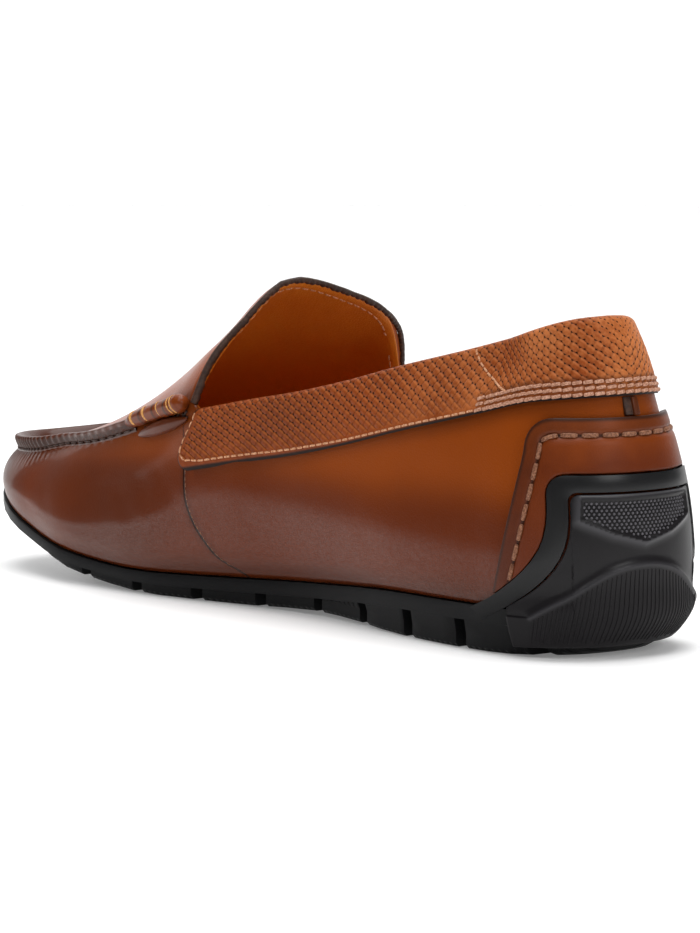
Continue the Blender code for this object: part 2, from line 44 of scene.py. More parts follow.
# Where the leather runs, in millimetres
APRON_SEAM = np.array((
    (20.7, 42.9, 58.9), (32.0, 42.7, 55.6), (43.1, 42.7, 52.3), (53.8, 42.1, 49.1),
    (64.3, 41.4, 46.5), (74.3, 40.2, 44.5), (83.8, 38.9, 43.0), (92.7, 37.6, 41.8),
    (101.1, 37.2, 40.1), (108.8, 37.0, 38.8), (115.9, 35.8, 38.0), (122.0, 33.8, 37.5),
    (127.4, 31.4, 37.2), (131.9, 28.6, 37.0), (135.5, 25.2, 36.8), (138.1, 21.5, 36.7),
    (139.8, 17.6, 36.6), (140.2, 13.4, 36.6), (139.6, 9.1, 36.7), (137.7, 4.9, 36.9),
    (134.9, 0.8, 37.2), (131.1, -3.1, 37.7), (126.7, -7.1, 38.1), (121.5, -11.1, 38.5),
    (115.5, -15.0, 39.1), (108.6, -18.8, 39.9), (101.0, -22.0, 40.8), (92.7, -25.3, 41.9),
    (83.8, -28.9, 43.0), (74.3, -32.1, 44.5), (64.3, -34.9, 46.5), (53.8, -36.2, 49.1),
    (43.1, -36.8, 52.3), (32.0, -36.8, 55.6), (20.7, -36.4, 58.9),
)) * MM
TONGUE_EDGE = np.array((
    (20.6, 42.0, 58.6), (17.7, 35.5, 75.5), (15.3, 29.2, 82.5), (13.6, 22.7, 87.2),
    (12.4, 16.2, 90.2), (11.6, 9.8, 91.9), (11.4, 3.3, 92.4), (11.4, -3.3, 92.3),
    (11.5, -9.8, 91.5), (11.7, -16.2, 89.9), (12.7, -22.7, 86.8), (15.2, -28.9, 81.4),
    (20.7, -35.4, 58.6),
)) * MM
QUARTER_SEAM = np.array((
    (23.4, 46.0), (22.7, 39.9), (21.2, 31.1), (18.0, 24.6), (14.1, 18.9), (8.1, 12.5), (2.6, 8.4),
)) * MM
BAND_END = 17.0 * MM
BAND_REACHES = 9.0 * MM
BAND_CORNER = 5.5 * MM
ROLL_SPAN = (21.5 * MM, 51.0 * MM)
RIDGE_REAR = 49.0 * MM

# The heel is read as a turn about an upright line, and the sides as straight on from it
HEEL_AXIS = (-0.105, 0.009)
HEEL_TURN = 0.033
QUARTER_TURN = HEEL_TURN * math.pi / 2

# The camera stands behind the shoe on its inner side
CAMERA_PLACE = (-1.04966, 0.80190, 0.17978)
CAMERA_TURN = 0.6575
CAMERA_DIP = 0.1061
CAMERA_ROLL = 0.0004
FOCAL_PIXELS = 4513.97
SIDE_SHIFT_PIXELS = 23.885
PHOTO_HEIGHT = 933
SENSOR = 36.0

# Rays that look in at the shoe from outside start this far from its heart and run this far
RAY_START = 0.12
RAY_LENGTH = 0.114
SEARCH_START = 0.035

# Reaches at which the collar's band is measured, from one end to the other
BAND_LINES = np.arange(-0.172, 0.1721, 0.004)

# How squarely a vertex has to face out from the heel to count as part of the outer surface
REAR_FACING = 0.35


# Plain helpers for meshes
def hold(piece):
    """Selects this piece alone."""
    bpy.ops.object.select_all(action="DESELECT")
    piece.select_set(True)
    bpy.context.view_layer.objects.active = piece


def add_object(name, data):
    thing = bpy.data.objects.new(name, data)
    bpy.context.scene.collection.objects.link(thing)
    return thing


def new_piece(name, points, faces):
    mesh = bpy.data.meshes.new(name)
    mesh.from_pydata([tuple(point) for point in points], [], faces)
    mesh.update()
    return add_object(name, mesh)


def copy_of(node, name):
    """A copy of a CAD node's mesh, with its loose triangles joined into quads."""
    piece = add_object(name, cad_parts[node].data.copy())
    piece.data.materials.clear()
    hold(piece)
    bpy.ops.mesh.customdata_custom_splitnormals_clear()
    bpy.ops.object.mode_set(mode="EDIT")
    bpy.ops.mesh.select_all(action="SELECT")
    bpy.ops.mesh.remove_doubles(threshold=0.00001)
    angle = math.radians(70)
    bpy.ops.mesh.tris_convert_to_quads(face_threshold=angle, shape_threshold=angle)
    bpy.ops.object.mode_set(mode="OBJECT")
    return piece


def finish_with(piece, kind, **settings):
    """Adds a modifier to a piece and applies it."""
    hold(piece)
    modifier = piece.modifiers.new(kind, kind)
    for name, value in settings.items():
        setattr(modifier, name, value)
    bpy.ops.object.modifier_apply(modifier=modifier.name)


def keep_edges(piece, degrees, crease):
    """Creases the edges that are sharper than an angle, so that smoothing keeps them."""
    form = bmesh.new()
    form.from_mesh(piece.data)
    layer = form.edges.layers.float.get("crease_edge") or form.edges.layers.float.new("crease_edge")
    for edge in form.edges:
        if len(edge.link_faces) == 2 and edge.calc_face_angle(0) > math.radians(degrees):
            edge[layer] = crease
    form.to_mesh(piece.data)
    form.free()


def smooth_all(piece, degrees=None):
    hold(piece)
    if degrees is None:
        bpy.ops.object.shade_smooth()
    else:
        bpy.ops.object.shade_smooth_by_angle(angle=math.radians(degrees))


def face_out(piece, outward=None, where=None):
    """Turns a piece's faces outwards, an open piece's by an outward direction at each face."""
    hold(piece)
    edit_faces(bpy.ops.mesh.select_all, action="SELECT")
    edit_faces(bpy.ops.mesh.normals_make_consistent, inside=False)
    if outward is None:
        return
    _, normal = face_arrays(piece)
    agreement = np.einsum("ij,ij->i", normal, outward)
    if np.sum(agreement if where is None else agreement[where]) < 0:
        edit_faces(bpy.ops.mesh.flip_normals)


def triples(items, name):
    """A three-number property of every vertex or face, as rows."""
    flat = np.empty(len(items) * 3)
    items.foreach_get(name, flat)
    return flat.reshape(-1, 3)


def face_arrays(piece):
    return triples(piece.data.polygons, "center"), triples(piece.data.polygons, "normal")


def points_of(piece):
    return triples(piece.data.vertices, "co")


def facing_of(piece):
    return triples(piece.data.vertices, "normal")


def edit_faces(work, **settings):
    """Runs one mesh operator on the held piece."""
    bpy.ops.object.mode_set(mode="EDIT")
    work(**settings)
    bpy.ops.object.mode_set(mode="OBJECT")


def set_points(piece, points):
    piece.data.vertices.foreach_set("co", np.ascontiguousarray(points).ravel())
    piece.data.update()


def note(piece, name, values):
    """Keeps a number at each vertex, for the materials to read."""
    layer = piece.data.attributes.new(name, "FLOAT", "POINT")
    layer.data.foreach_set("value", np.ascontiguousarray(values, dtype=float))


def map_by_vertex(piece, flat):
    """A UV map from a pair of numbers at each vertex."""
    layer = piece.data.uv_layers.new(name="laid")
    corner = np.empty(len(piece.data.loops), dtype=int)
    piece.data.loops.foreach_get("vertex_index", corner)
    layer.data.foreach_set("uv", np.asarray(flat, float)[corner].ravel())


def settle(piece, finishes, slot, *nodes):
    """Gives a piece its finishes, hangs it under the root body and hides the CAD parts it replaces. slot is
    not used.
    """
    for finish in finishes:
        piece.data.materials.append(finish)
    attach(piece, "root")
    if nodes:
        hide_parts(*nodes)


def ease(low, high, value):
    """0 below low, 1 above high and a soft curve between."""
    t = np.clip((value - low) / (high - low), 0, 1)
    return t * t * (3 - 2 * t)


def bell(value, width):
    return np.exp(-(value / width) ** 2)


def unit(vectors):
    return vectors / np.maximum(np.linalg.norm(vectors, axis=-1, keepdims=True), 1e-12)


def resample(path, spacing):
    """Points along a smooth curve through a path, evenly spaced."""
    path = np.asarray(path, float)
    step = np.linalg.norm(np.diff(path, axis=0), axis=1)
    run = np.concatenate([[0], np.cumsum(step)])
    slope = np.gradient(path, run, axis=0)
    fine = np.linspace(0, run[-1], len(path) * 24)
    row = np.clip(np.searchsorted(run, fine, side="right") - 1, 0, len(step) - 1)
    width = step[row][:, None]
    t = ((fine - run[row]) / step[row])[:, None]
    curve = (path[row] * (1 + 2 * t) * (1 - t) ** 2 + path[row + 1] * t * t * (3 - 2 * t)
             + width * t * (1 - t) * (slope[row] * (1 - t) - slope[row + 1] * t))
    length = run_of(curve)
    count = max(2, int(round(length[-1] / spacing)) + 1)
    at = np.linspace(0, length[-1], count)
    return np.stack([np.interp(at, length, curve[:, k]) for k in range(curve.shape[1])], axis=1)


# Reading the solids
TREES = {}


def remember(name, piece):
    """Lets later pieces be laid on this one."""
    mesh = piece.data
    corners = [vertex.co for vertex in mesh.vertices]
    TREES[name] = BVHTree.FromPolygons(corners, [tuple(face.vertices) for face in mesh.polygons])


def solid(node):
    if node not in TREES:
        remember(node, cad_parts[node])
    return TREES[node]


def look_in(reach):
    """Foot and outward direction of the level line that looks in at the shoe at a reach."""
    angle = max(-math.pi / 2, min(math.pi / 2, reach / HEEL_TURN))
    ahead = max(abs(reach) - QUARTER_TURN, 0.0)
    foot = Vector((HEEL_AXIS[0] + ahead, HEEL_AXIS[1], 0.0))
    return foot, Vector((-math.cos(angle), math.sin(angle), 0.0))


def reach_of(points):
    """The reach of points from the middle of the heel, positive on the inner side."""
    along = points[..., 0] - HEEL_AXIS[0]
    across = points[..., 1] - HEEL_AXIS[1]
    turn = HEEL_TURN * np.arctan2(across, -along)
    side = np.where(across < 0, -1.0, 1.0)
    return np.where(along < 0, turn, side * (QUARTER_TURN + along))


def touch(node, reach, height):
    """Where the level line at a reach and height meets a solid, and the way the solid faces there."""
    foot, out = look_in(reach)
    start = foot + out * RAY_START
    start.z = height
    place, facing, _, _ = solid(node).ray_cast(start, -out, RAY_LENGTH)
    return place, facing


def touch_all(node, flat):
    """Places and facings on a solid at pairs of reach and height, or the nearest ones to them."""
    places = []
    facings = []
    for reach, height in flat:
        place, facing = touch(node, float(reach), float(height))
        if place is None:
            foot, out = look_in(float(reach))
            aim = foot + out * SEARCH_START + Vector((0, 0, float(height)))
            place, facing, _, _ = solid(node).find_nearest(aim)
        places.append(place)
        facings.append(facing)
    return np.array(places), np.array(facings)


def height_span(node, reach, low, high=0.1, step=0.0006):
    """Lowest and highest height at which a level line meets a solid."""
    hits = [h for h in np.arange(low, high, step) if touch(node, reach, float(h))[0] is not None]
    if not hits:
        return None
    ends = []
    for inside, outside in ((hits[0], hits[0] - step), (hits[-1], hits[-1] + step)):
        for _ in range(7):
            middle = (inside + outside) / 2
            if touch(node, reach, float(middle))[0] is not None:
                inside = middle
            else:
                outside = middle
        ends.append(inside)
    return ends


def outline_round(node, centre_height, count=120, furthest=0.075):
    """The arched outline of a solid on the back of the heel, as reach and height."""
    outline = []
    for angle in np.linspace(0, math.pi, count):
        inside, outside = None, None
        for radius in np.arange(furthest, 0.002, -0.0005):
            reach = radius * math.cos(angle)
            height = centre_height + radius * math.sin(angle)
            if touch(node, reach, height)[0] is not None:
                inside, outside = radius, radius + 0.0005
                break
        if inside is None:
            continue
        for _ in range(6):
            middle = (inside + outside) / 2
            hit = touch(node, middle * math.cos(angle), centre_height + middle * math.sin(angle))[0]
            inside, outside = (middle, outside) if hit is not None else (inside, middle)
        outline.append((inside * math.cos(angle), centre_height + inside * math.sin(angle)))
    return np.array(outline)


def gap_to(points, path):
    """Distance from each point to a path, and how far along the path its nearest place is."""
    run = run_of(path)
    best = np.full(len(points), 1e9)
    along = np.zeros(len(points))
    for k in range(len(path) - 1):
        leg = path[k + 1] - path[k]
        share = np.clip((points - path[k]) @ leg / (leg @ leg), 0, 1)
        gap = np.linalg.norm(points - path[k] - share[:, None] * leg, axis=1)
        near = gap < best
        best[near] = gap[near]
        along[near] = run[k] + share[near] * (run[k + 1] - run[k])
    return best, along


def run_of(path):
    """How far along a path each of its points is."""
    return np.concatenate([[0], np.cumsum(np.linalg.norm(np.diff(path, axis=0), axis=1))])


def along_run(at, run, values):
    """Rows of three numbers, read at other places along a run."""
    return np.stack([np.interp(at, run, values[:, k]) for k in range(3)], axis=1)


def shift_path(path, distance):
    """A flat path moved sideways, towards its left."""
    run = unit(np.gradient(path, axis=0))
    return path + np.stack([-run[:, 1], run[:, 0]], axis=1) * distance


# Camera
def camera_axes():
    back = np.array((-math.cos(CAMERA_TURN), math.sin(CAMERA_TURN), 0.0))
    share = math.cos(CAMERA_DIP)
    forward = np.array((-back[0] * share, -back[1] * share, -math.sin(CAMERA_DIP)))
    right = unit(np.cross(forward, (0, 0, 1.0)))
    up = np.cross(right, forward)
    level = right * math.cos(CAMERA_ROLL) + up * math.sin(CAMERA_ROLL)
    upright = up * math.cos(CAMERA_ROLL) - right * math.sin(CAMERA_ROLL)
    return level, upright, forward


def set_camera():
    level, upright, forward = camera_axes()
    data = bpy.data.cameras.new("studio_camera")
    camera = add_object("studio_camera", data)
    turn = Matrix((level, upright, -forward)).transposed()
    camera.matrix_world = Matrix.Translation(CAMERA_PLACE) @ turn.to_4x4()
    data.sensor_width = SENSOR
    data.lens = FOCAL_PIXELS * SENSOR / PHOTO_HEIGHT
    data.shift_x = -SIDE_SHIFT_PIXELS / PHOTO_HEIGHT
    data.clip_start = 0.05
    data.clip_end = 50
    bpy.context.scene.camera = camera


# Materials
class Amount:
    """A number that changes over a surface. Sums on it add Math nodes."""

    def __init__(self, finish, socket):
        self.finish = finish
        self.socket = socket

    def math(self, operation, *others):
        return self.finish.add("Math", {"operation": operation}, dict(enumerate((self,) + others)))

    def __add__(self, other):
        return self.math("ADD", other)

    __radd__ = __add__

    def __mul__(self, other):
        return self.math("MULTIPLY", other)

    __rmul__ = __mul__

    def __sub__(self, other):
        return self.math("SUBTRACT", other)

    def __rsub__(self, other):
        return self.finish.add("Math", {"operation": "SUBTRACT"}, {0: other, 1: self})

    def __truediv__(self, other):
        return self.math("DIVIDE", other)

    def __abs__(self):
        return self.math("ABSOLUTE")

    def __pow__(self, other):
        return self.math("POWER", other)

    def floor(self):
        return self.math("FLOOR")

    def part(self):
        return self.math("FRACT")

    def lesser(self, other):
        return self.math("MINIMUM", other)

    def greater(self, other):
        return self.math("MAXIMUM", other)

    def ease(self, low, high):
        """0 where this is low, 1 where it is high and a soft curve between."""
        settings = {"interpolation_type": "SMOOTHSTEP"}
        return self.finish.add("MapRange", settings, {"Value": self, "From Min": low, "From Max": high})


def socket_name(word):
    return word.replace("_", " ").title().replace("Ior", "IOR")


class Finish:
    """A material, built up node by node."""

    def __init__(self, name, **plain):
        self.material = bpy.data.materials.new(name)
        self.material.use_nodes = True
        self.nodes = self.material.node_tree.nodes
        self.links = self.material.node_tree.links
        self.shader = self.nodes["Principled BSDF"]
        for socket, value in plain.items():
            self.shader.inputs[socket_name(socket)].default_value = value

    def add(self, kind, settings=None, values=None, out=0):
        node = self.nodes.new("ShaderNode" + kind)
        for name, value in (settings or {}).items():
            setattr(node, name, value)
        for name, value in (values or {}).items():
            self.feed(node.inputs[name], value)
        return Amount(self, node.outputs[out])

    def feed(self, socket, value):
        if isinstance(value, Amount):
            self.links.new(value.socket, socket)
        else:
            socket.default_value = value

    def place(self):
        return self.add("TexCoord", out="Object")

    def noted(self, name):
        return self.add("Attribute", {"attribute_name": name}, out="Fac")

    def laid(self):
        """Both numbers of the piece's UV map."""
        flat = self.add("UVMap", {"uv_map": "laid"})
        along = self.add("SeparateXYZ", None, {"Vector": flat}, "X")
        return along, Amount(self, along.socket.node.outputs["Y"])

    def height(self):
        return self.add("SeparateXYZ", None, {"Vector": self.place()}, "Z")

    def noise(self, size, detail=3.0, roughness=0.55):
        """Cloudy noise whose blotches are about size metres across."""
        values = {"Vector": self.place(), "Scale": 1 / size, "Detail": detail, "Roughness": roughness}
        return self.add("TexNoise", None, values)

    def pebbles(self, size):
        """Distance from the edges of small cells, as in grain leather."""
        values = {"Vector": self.place(), "Scale": 1 / size}
        return self.add("TexVoronoi", {"feature": "DISTANCE_TO_EDGE"}, values)

    def blend(self, first, second, share):
        values = {"Factor": share, "A": first, "B": second}
        node = self.nodes.new("ShaderNodeMix")
        node.data_type = "RGBA"
        for socket in node.inputs:
            if socket.enabled and socket.name in values:
                self.feed(socket, values[socket.name])
        result = [socket for socket in node.outputs if socket.enabled][0]
        return Amount(self, result)

    def relief(self, height, depth, under=None):
        """A bump of a depth in metres."""
        values = {"Height": height, "Distance": depth, "Strength": 1.0}
        if under:
            values["Normal"] = under
        return self.add("Bump", None, values)

    def set(self, **sockets):
        for name, value in sockets.items():
            self.feed(self.shader.inputs[socket_name(name)], value)
        return self.material


def rgb(red, green, blue):
    """A colour as it looks on a screen, 0 to 255, turned into light."""
    tones = (red, green, blue)
    return tuple(((c / 255 + 0.055) / 1.055) ** 2.4 if c > 10 else c / 3294.6 for c in tones) + (1.0,)


COGNAC = rgb(144, 66, 16)
# A darker cognac, for the leather's random mottle, for painted shade low on the upper's sides and for the
# counter's darker lower part
COGNAC_MOTTLE_AND_SHADE = rgb(100, 40, 8)
# Dark cognac, for burnished edges, seams and toe and for painted shade in grooves, folds and creases
COGNAC_BURNISH_AND_SHADE = rgb(60, 28, 13)
BAND_TAN = rgb(142, 66, 24)
BAND_DEEP = rgb(114, 50, 16)
# A light tan for the band's painted highlights, towards the heel and along its strands
BAND_LIT_TAN = rgb(198, 118, 66)
EDGE_BROWN = rgb(48, 28, 19)
LINING_TAN = rgb(208, 122, 30)
RUBBER_BLACK = rgb(20, 20, 21)
THREAD_TAN = rgb(178, 112, 68)


def burnished_leather():
    """Smooth aniline calf, darkened by hand at the seams and the toe, with painted shade low on its sides, in
    the troughs of the gathers and under the band's edge.
    """
    leather = Finish("burnished_leather", specular_ior_level=0.06, coat_roughness=0.12)
    cloud = leather.noise(0.060, 2.0)
    fine = leather.noise(0.009, 4.0)
    seam = 1 - leather.noted("seam").ease(0.0, 0.016)
    foot = 1 - leather.noted("foot").ease(0.0, 0.012)
    toe = leather.noted("toe")
    quarter = abs(leather.noted("quarter"))
    join = 1 - quarter.ease(0.0, 0.004)
    band = 1 - leather.noted("band").ease(0.0, 0.007)
    # Darker at the seams, the sole's edge, the quarter seam and the toe; the darkening along the band's lower
    # edge is partly burnish and partly a painted shadow under the band
    dark = (seam * 0.55).greater(foot * 0.5).greater(join * 0.35).greater(band * 0.45).greater(toe * 0.75)
    # Painted shade in the troughs of the gathers, and the vamp's sides darkened
    dark = dark.greater(leather.noted("gather") * 0.32).greater(leather.noted("vamp") * 0.42)
    dark = (dark + (cloud - 0.5) * 0.5 + (fine - 0.5) * 0.10).ease(0.0, 1.0)
    # Painted shade: the sides darken downwards, where less light falls on them
    low = 1 - leather.height().ease(0.032, 0.051)
    colour = leather.blend(COGNAC, COGNAC_MOTTLE_AND_SHADE, (low * 0.8 + (cloud - 0.5) * 0.8 + 0.15).ease(0.0, 1.0))
    colour = leather.blend(colour, COGNAC_BURNISH_AND_SHADE, dark)
    line = 1 - quarter.ease(0.00015, 0.00055)
    colour = leather.blend(colour, EDGE_BROWN, line)
    grain = leather.pebbles(0.0008).ease(0.0, 0.25)
    pores = leather.noise(0.0004, 2.0)
    surface = leather.relief(grain * 0.8 + pores * 0.35, 0.00003)
    ledge = leather.noted("quarter").ease(-0.0004, 0.0002) - 1.4 * line
    surface = leather.relief(ledge, 0.0003, surface)
    rough = 0.36 + (fine - 0.5) * 0.16 + dark * 0.05
    speckle = leather.noise(0.0011, 3.0, 0.7).ease(0.25, 0.75)
    gloss = (0.03 + leather.noted("sheen") * 0.38) * (0.60 + speckle * 0.68)
    return leather.set(base_color=colour, roughness=rough, coat_weight=gloss, normal=surface)


def band_leather():
    """The collar's leather, pressed with a plaited pattern and pricked at its crossings, with painted shade
    in its grooves and holes and painted highlights on its strands and towards the heel.
    """
    leather = Finish("band_leather", specular_ior_level=0.10, coat_weight=0.02, coat_roughness=0.25)
    along, up = leather.laid()
    weave, hole, shoulder_highlight = plait(abs(along), up)
    pressed = leather.noted("pressed")
    weave = 1 - (1 - weave) * pressed
    hole = hole * leather.noted("pricked")
    cloud = leather.noise(0.030, 3.0)
    fine = leather.noise(0.0012, 3.0)
    edge = 1 - leather.noted("cut").ease(0.0004, 0.0011)
    rear = leather.noted("rear")
    mottle = (cloud + (fine - 0.5) * 0.4).ease(0.35, 0.75)
    front_tone = leather.blend(BAND_TAN, BAND_DEEP, mottle)
    # Painted highlight: the band turns lighter towards the heel, where more light falls on it
    colour = leather.blend(front_tone, leather.blend(BAND_LIT_TAN, BAND_TAN, mottle), rear)
    # Painted highlight along the upper edge of each strand
    colour = leather.blend(colour, BAND_LIT_TAN, shoulder_highlight * pressed * 0.40)
    # Painted shade in the plait's grooves
    colour = leather.blend(COGNAC_BURNISH_AND_SHADE, colour, (weave * 0.50 + 0.56).lesser(1.0))
    # Painted shade in the pricked holes
    colour = leather.blend(colour, rgb(40, 19, 10), hole)
    colour = leather.blend(colour, COGNAC_BURNISH_AND_SHADE, leather.noted("rows") * 0.5)
    colour = leather.blend(colour, rgb(30, 14, 8), edge)
    pores = leather.noise(0.0005, 2.0)
    surface = leather.relief(weave + pores * 0.10 - hole, 0.00040)
    return leather.set(base_color=colour, roughness=0.50 + (fine - 0.5) * 0.2, normal=surface)


PLAIT_LEAN = math.radians(36)
PLAIT_LONG = 0.0029
PLAIT_WIDE = 0.0020
PLAIT_GROOVE = 0.0005


def plait(along, up):
    """The plait's height, 0 in a groove and 1 on a strand, its holes and its strands' upper edges, where a
    highlight is painted.
    """
    long = (along * math.cos(PLAIT_LEAN) + up * math.sin(PLAIT_LEAN)) / PLAIT_LONG
    wide = (up * math.cos(PLAIT_LEAN) - along * math.sin(PLAIT_LEAN)) / PLAIT_WIDE
    row = wide.floor()
    stagger = long + (row * 0.5).part()
    end = abs(stagger.part() - 0.5)
    side = abs(wide.part() - 0.5)
    end_gap = (0.5 - end) * PLAIT_LONG
    side_gap = (0.5 - side) * PLAIT_WIDE
    strand = (1 - (side * 2) ** 3 * 0.62) * (end_gap.ease(0.0, PLAIT_GROOVE) * 0.45 + 0.55)
    corner = (end_gap * end_gap + side_gap * side_gap) ** 0.5
    hole = 1 - corner.ease(0.00022, 0.00050)
    shoulder_highlight = wide.part().ease(0.52, 0.80) * (1 - wide.part().ease(0.86, 0.96))
    return strand, hole, shoulder_highlight


def lining_leather():
    leather = Finish("lining_leather", specular_ior_level=0.35)
    cloud = leather.noise(0.040, 3.0)
    fine = leather.noise(0.0010, 3.0)
    colour = leather.blend(LINING_TAN, rgb(192, 100, 20), (cloud + (fine - 0.5) * 0.3).ease(0.3, 0.8))
    colour = leather.blend(colour, rgb(170, 84, 18), leather.noted("sock") * 0.7)
    surface = leather.relief(leather.pebbles(0.0009).ease(0.0, 0.25) + fine * 0.4, 0.00004)
    surface = leather.relief(leather.noted("sock").ease(0.3, 0.7), 0.0006, surface)
    return leather.set(base_color=colour, roughness=0.52 + (fine - 0.5) * 0.2, normal=surface)


def trim_leather(name, gloss, blur):
    """The darker burnished leather of the counter and the seam. It darkens towards the bottom and where its
    rim value is high: at burnished edges, and as painted shade in grooves, folds and the rolls' creases and
    undersides.
    """
    leather = Finish(name, specular_ior_level=0.15, coat_weight=gloss, coat_roughness=blur)
    rim = leather.noted("rim")
    cloud = leather.noise(0.022, 3.0)
    fine = leather.noise(0.0009, 3.0)
    low = 1 - leather.height().ease(0.048, 0.066)
    colour = leather.blend(COGNAC, COGNAC_MOTTLE_AND_SHADE, (low * 0.85 + cloud.ease(0.3, 0.7) * 0.35).lesser(1.0))
    # The rim value: burnished edges, and painted shade in grooves, folds, creases and undersides
    colour = leather.blend(colour, COGNAC_BURNISH_AND_SHADE, (rim + (cloud - 0.5) * 0.35).ease(0.1, 1.0))
    grain = leather.pebbles(0.0007).ease(0.0, 0.3)
    surface = leather.relief(grain * 0.5 + leather.noise(0.0004, 3.0) + cloud, 0.00004)
    return leather.set(base_color=colour, roughness=0.42 + (fine - 0.5) * 0.2, normal=surface)


def edge_leather():
    """A cut edge, rubbed with dark dye."""
    leather = Finish("edge_leather", specular_ior_level=0.4)
    fine = leather.noise(0.0008, 4.0, 0.7)
    long = leather.noise(0.0040, 3.0)
    colour = leather.blend(EDGE_BROWN, rgb(86, 56, 40), (fine * 0.6 + long * 0.4).ease(0.40, 0.75))
    surface = leather.relief(fine + long, 0.00025)
    return leather.set(base_color=colour, roughness=0.55 + (fine - 0.5) * 0.3, normal=surface)


def rubber(name, tone, roughness, shine):
    """Moulded rubber. shine is its gloss low down and high up."""
    compound = Finish(name, specular_ior_level=0.08, coat_roughness=0.3)
    gloss = compound.height().ease(0.008, 0.030) * (shine[1] - shine[0]) + shine[0]
    cloud = compound.noise(0.020, 3.0)
    fine = compound.noise(0.00045, 3.0)
    lighter = tuple(c * 1.35 for c in tone[:3]) + (1.0,)
    colour = compound.blend(tone, lighter, (cloud * 0.7 + fine * 0.3).ease(0.35, 0.75))
    colour = compound.blend(colour, rgb(66, 65, 68), compound.noted("raised"))
    surface = compound.relief(fine, 0.00004)
    ahead = compound.add("SeparateXYZ", None, {"Vector": compound.place()}, "X")
    ribs = abs((ahead / 0.0024).part() - 0.5).ease(0.12, 0.34) * compound.noted("under")
    surface = compound.relief(ribs, 0.0005, surface)
    rough = roughness + (cloud - 0.5) * 0.12
    return compound.set(base_color=colour, roughness=rough, coat_weight=gloss, normal=surface)


def thread(name, tone, pale):
    yarn = Finish(name, specular_ior_level=0.4)
    fibre = yarn.noise(0.0005, 3.0, 0.6)
    colour = yarn.blend(tone, pale, fibre.ease(0.35, 0.7))
    surface = yarn.relief(fibre, 0.00008)
    return yarn.set(base_color=colour, roughness=0.6 + (fibre - 0.5) * 0.2, normal=surface)


LEATHER = burnished_leather()
BAND = band_leather()
LINING = lining_leather()
TRIM = trim_leather("trim_leather", 0.10, 0.32)
SEAM_LEATHER = trim_leather("seam_leather", 0.34, 0.18)
EDGE = edge_leather()
SOLE_RUBBER = rubber("sole_rubber", RUBBER_BLACK, 0.50, (0.02, 0.55))
PAD_RUBBER = rubber("pad_rubber", rgb(22, 20, 22), 0.50, (0.12, 0.40))
DOT_RUBBER = rubber("dot_rubber", rgb(86, 84, 88), 0.55, (0.3, 0.31))
FINE_THREAD = thread("fine_thread", THREAD_TAN, rgb(228, 178, 140))
ROPE_THREAD = thread("rope_thread", rgb(158, 104, 76), rgb(216, 168, 142))
HEAVY_THREAD = thread("heavy_thread", rgb(104, 60, 38), rgb(164, 114, 84))
SEAM_THREAD = thread("seam_thread", rgb(38, 20, 14), rgb(70, 42, 30))
LACE_TAN = thread("lace_tan", rgb(186, 118, 58), rgb(226, 172, 96))


# Upper
# How far the sides fill out above the sole, and between which heights, along the shoe
BELLY = np.array((
    (-105, 0.0, 24, 50), (-75, 1.8, 25, 52), (-40, 3.0, 25, 54), (0, 3.7, 23, 55), (20, 3.0, 20, 48),
    (45, 2.1, 14, 35), (70, 1.7, 13, 31), (95, 0.6, 13, 28), (115, 0.0, 13, 28),
)) * (MM, MM, MM, MM)


def faces_out(points, facing):
    """Which of these points of the wall are on its outside."""
    return np.einsum("ij,ij->i", facing, points - spine_of(points)) > 0


def from_heel_line(points):
    """The level direction from the heel's upright line to a point, or straight aside ahead of that line."""
    behind = points[:, 0] - np.maximum(points[:, 0], HEEL_AXIS[0])
    return np.stack([behind, points[:, 1] - HEEL_AXIS[1]], axis=1)


def nearest_on(node, places):
    """The nearest points of a solid to these places, and the way it faces there."""
    seats = [solid(node).find_nearest(Vector(place)) for place in places]
    return np.array([seat[0] for seat in seats]), np.array([seat[1] for seat in seats])


def belly_at(points):
    """Where the shaped sides swell, in metres, at points of the upper."""
    x = points[:, 0]
    size, low, high = (np.interp(x, BELLY[:, 0], BELLY[:, k]) for k in (1, 2, 3))
    above = points[:, 2] - foot_height(x)
    share = (points[:, 2] - low) / (high - low)
    return size * (1 - ease(0, 1, share)) * ease(0.5 * MM, 7.5 * MM, above)


def foot_height(x):
    """The height at which the leather meets the sole's edge."""
    share = (x + 0.14226) / 0.286
    lift = 0.023 * np.clip((share - 0.64) / 0.36, 0, 1) ** 2
    rand = np.interp(share, (0, 0.24, 0.41, 0.54, 0.70, 1.0), (1, 0.96, 0.74, 0.60, 0.50, 0.36))
    return lift + 0.013 * rand


# A line inside the shoe from heel to toe: its place across and its height along the shoe
SPINE_ACROSS = np.array((
    (-0.14, 0.0086), (-0.04, 0.0067), (-0.005, 0.0027), (0.052, -0.0014), (0.08, 0.0006), (0.11, 0.0053),
))
SPINE_UP = np.array(((-0.10, 0.045), (0.03, 0.040), (0.08, 0.030), (0.12, 0.0285)))


def spine_of(places):
    """A point inside the shoe abreast of each place."""
    x = np.clip(places[:, 0], -0.100, 0.105)
    y = np.interp(x, SPINE_ACROSS[:, 0], SPINE_ACROSS[:, 1])
    z = np.interp(x, SPINE_UP[:, 0], SPINE_UP[:, 1])
    return np.stack([x, y, z], axis=1)


def collar_top(reaches):
    return np.array([height_span("shell", float(reach), 0.04)[1] for reach in reaches])


# How much the tongue's rim goes up or down from its solid, across the shoe, in millimetres
TONGUE_RISE = np.array((
    (-36, 0.0), (-29, -2.8), (-22.7, -3.8), (-16.2, -3.5), (-9.8, -2.8), (-3.3, -1.4),
    (3.3, 0.4), (9.8, 2.0), (16.2, 2.7), (22.7, 1.2), (29, 0.0), (36, 0.0),
)) * MM


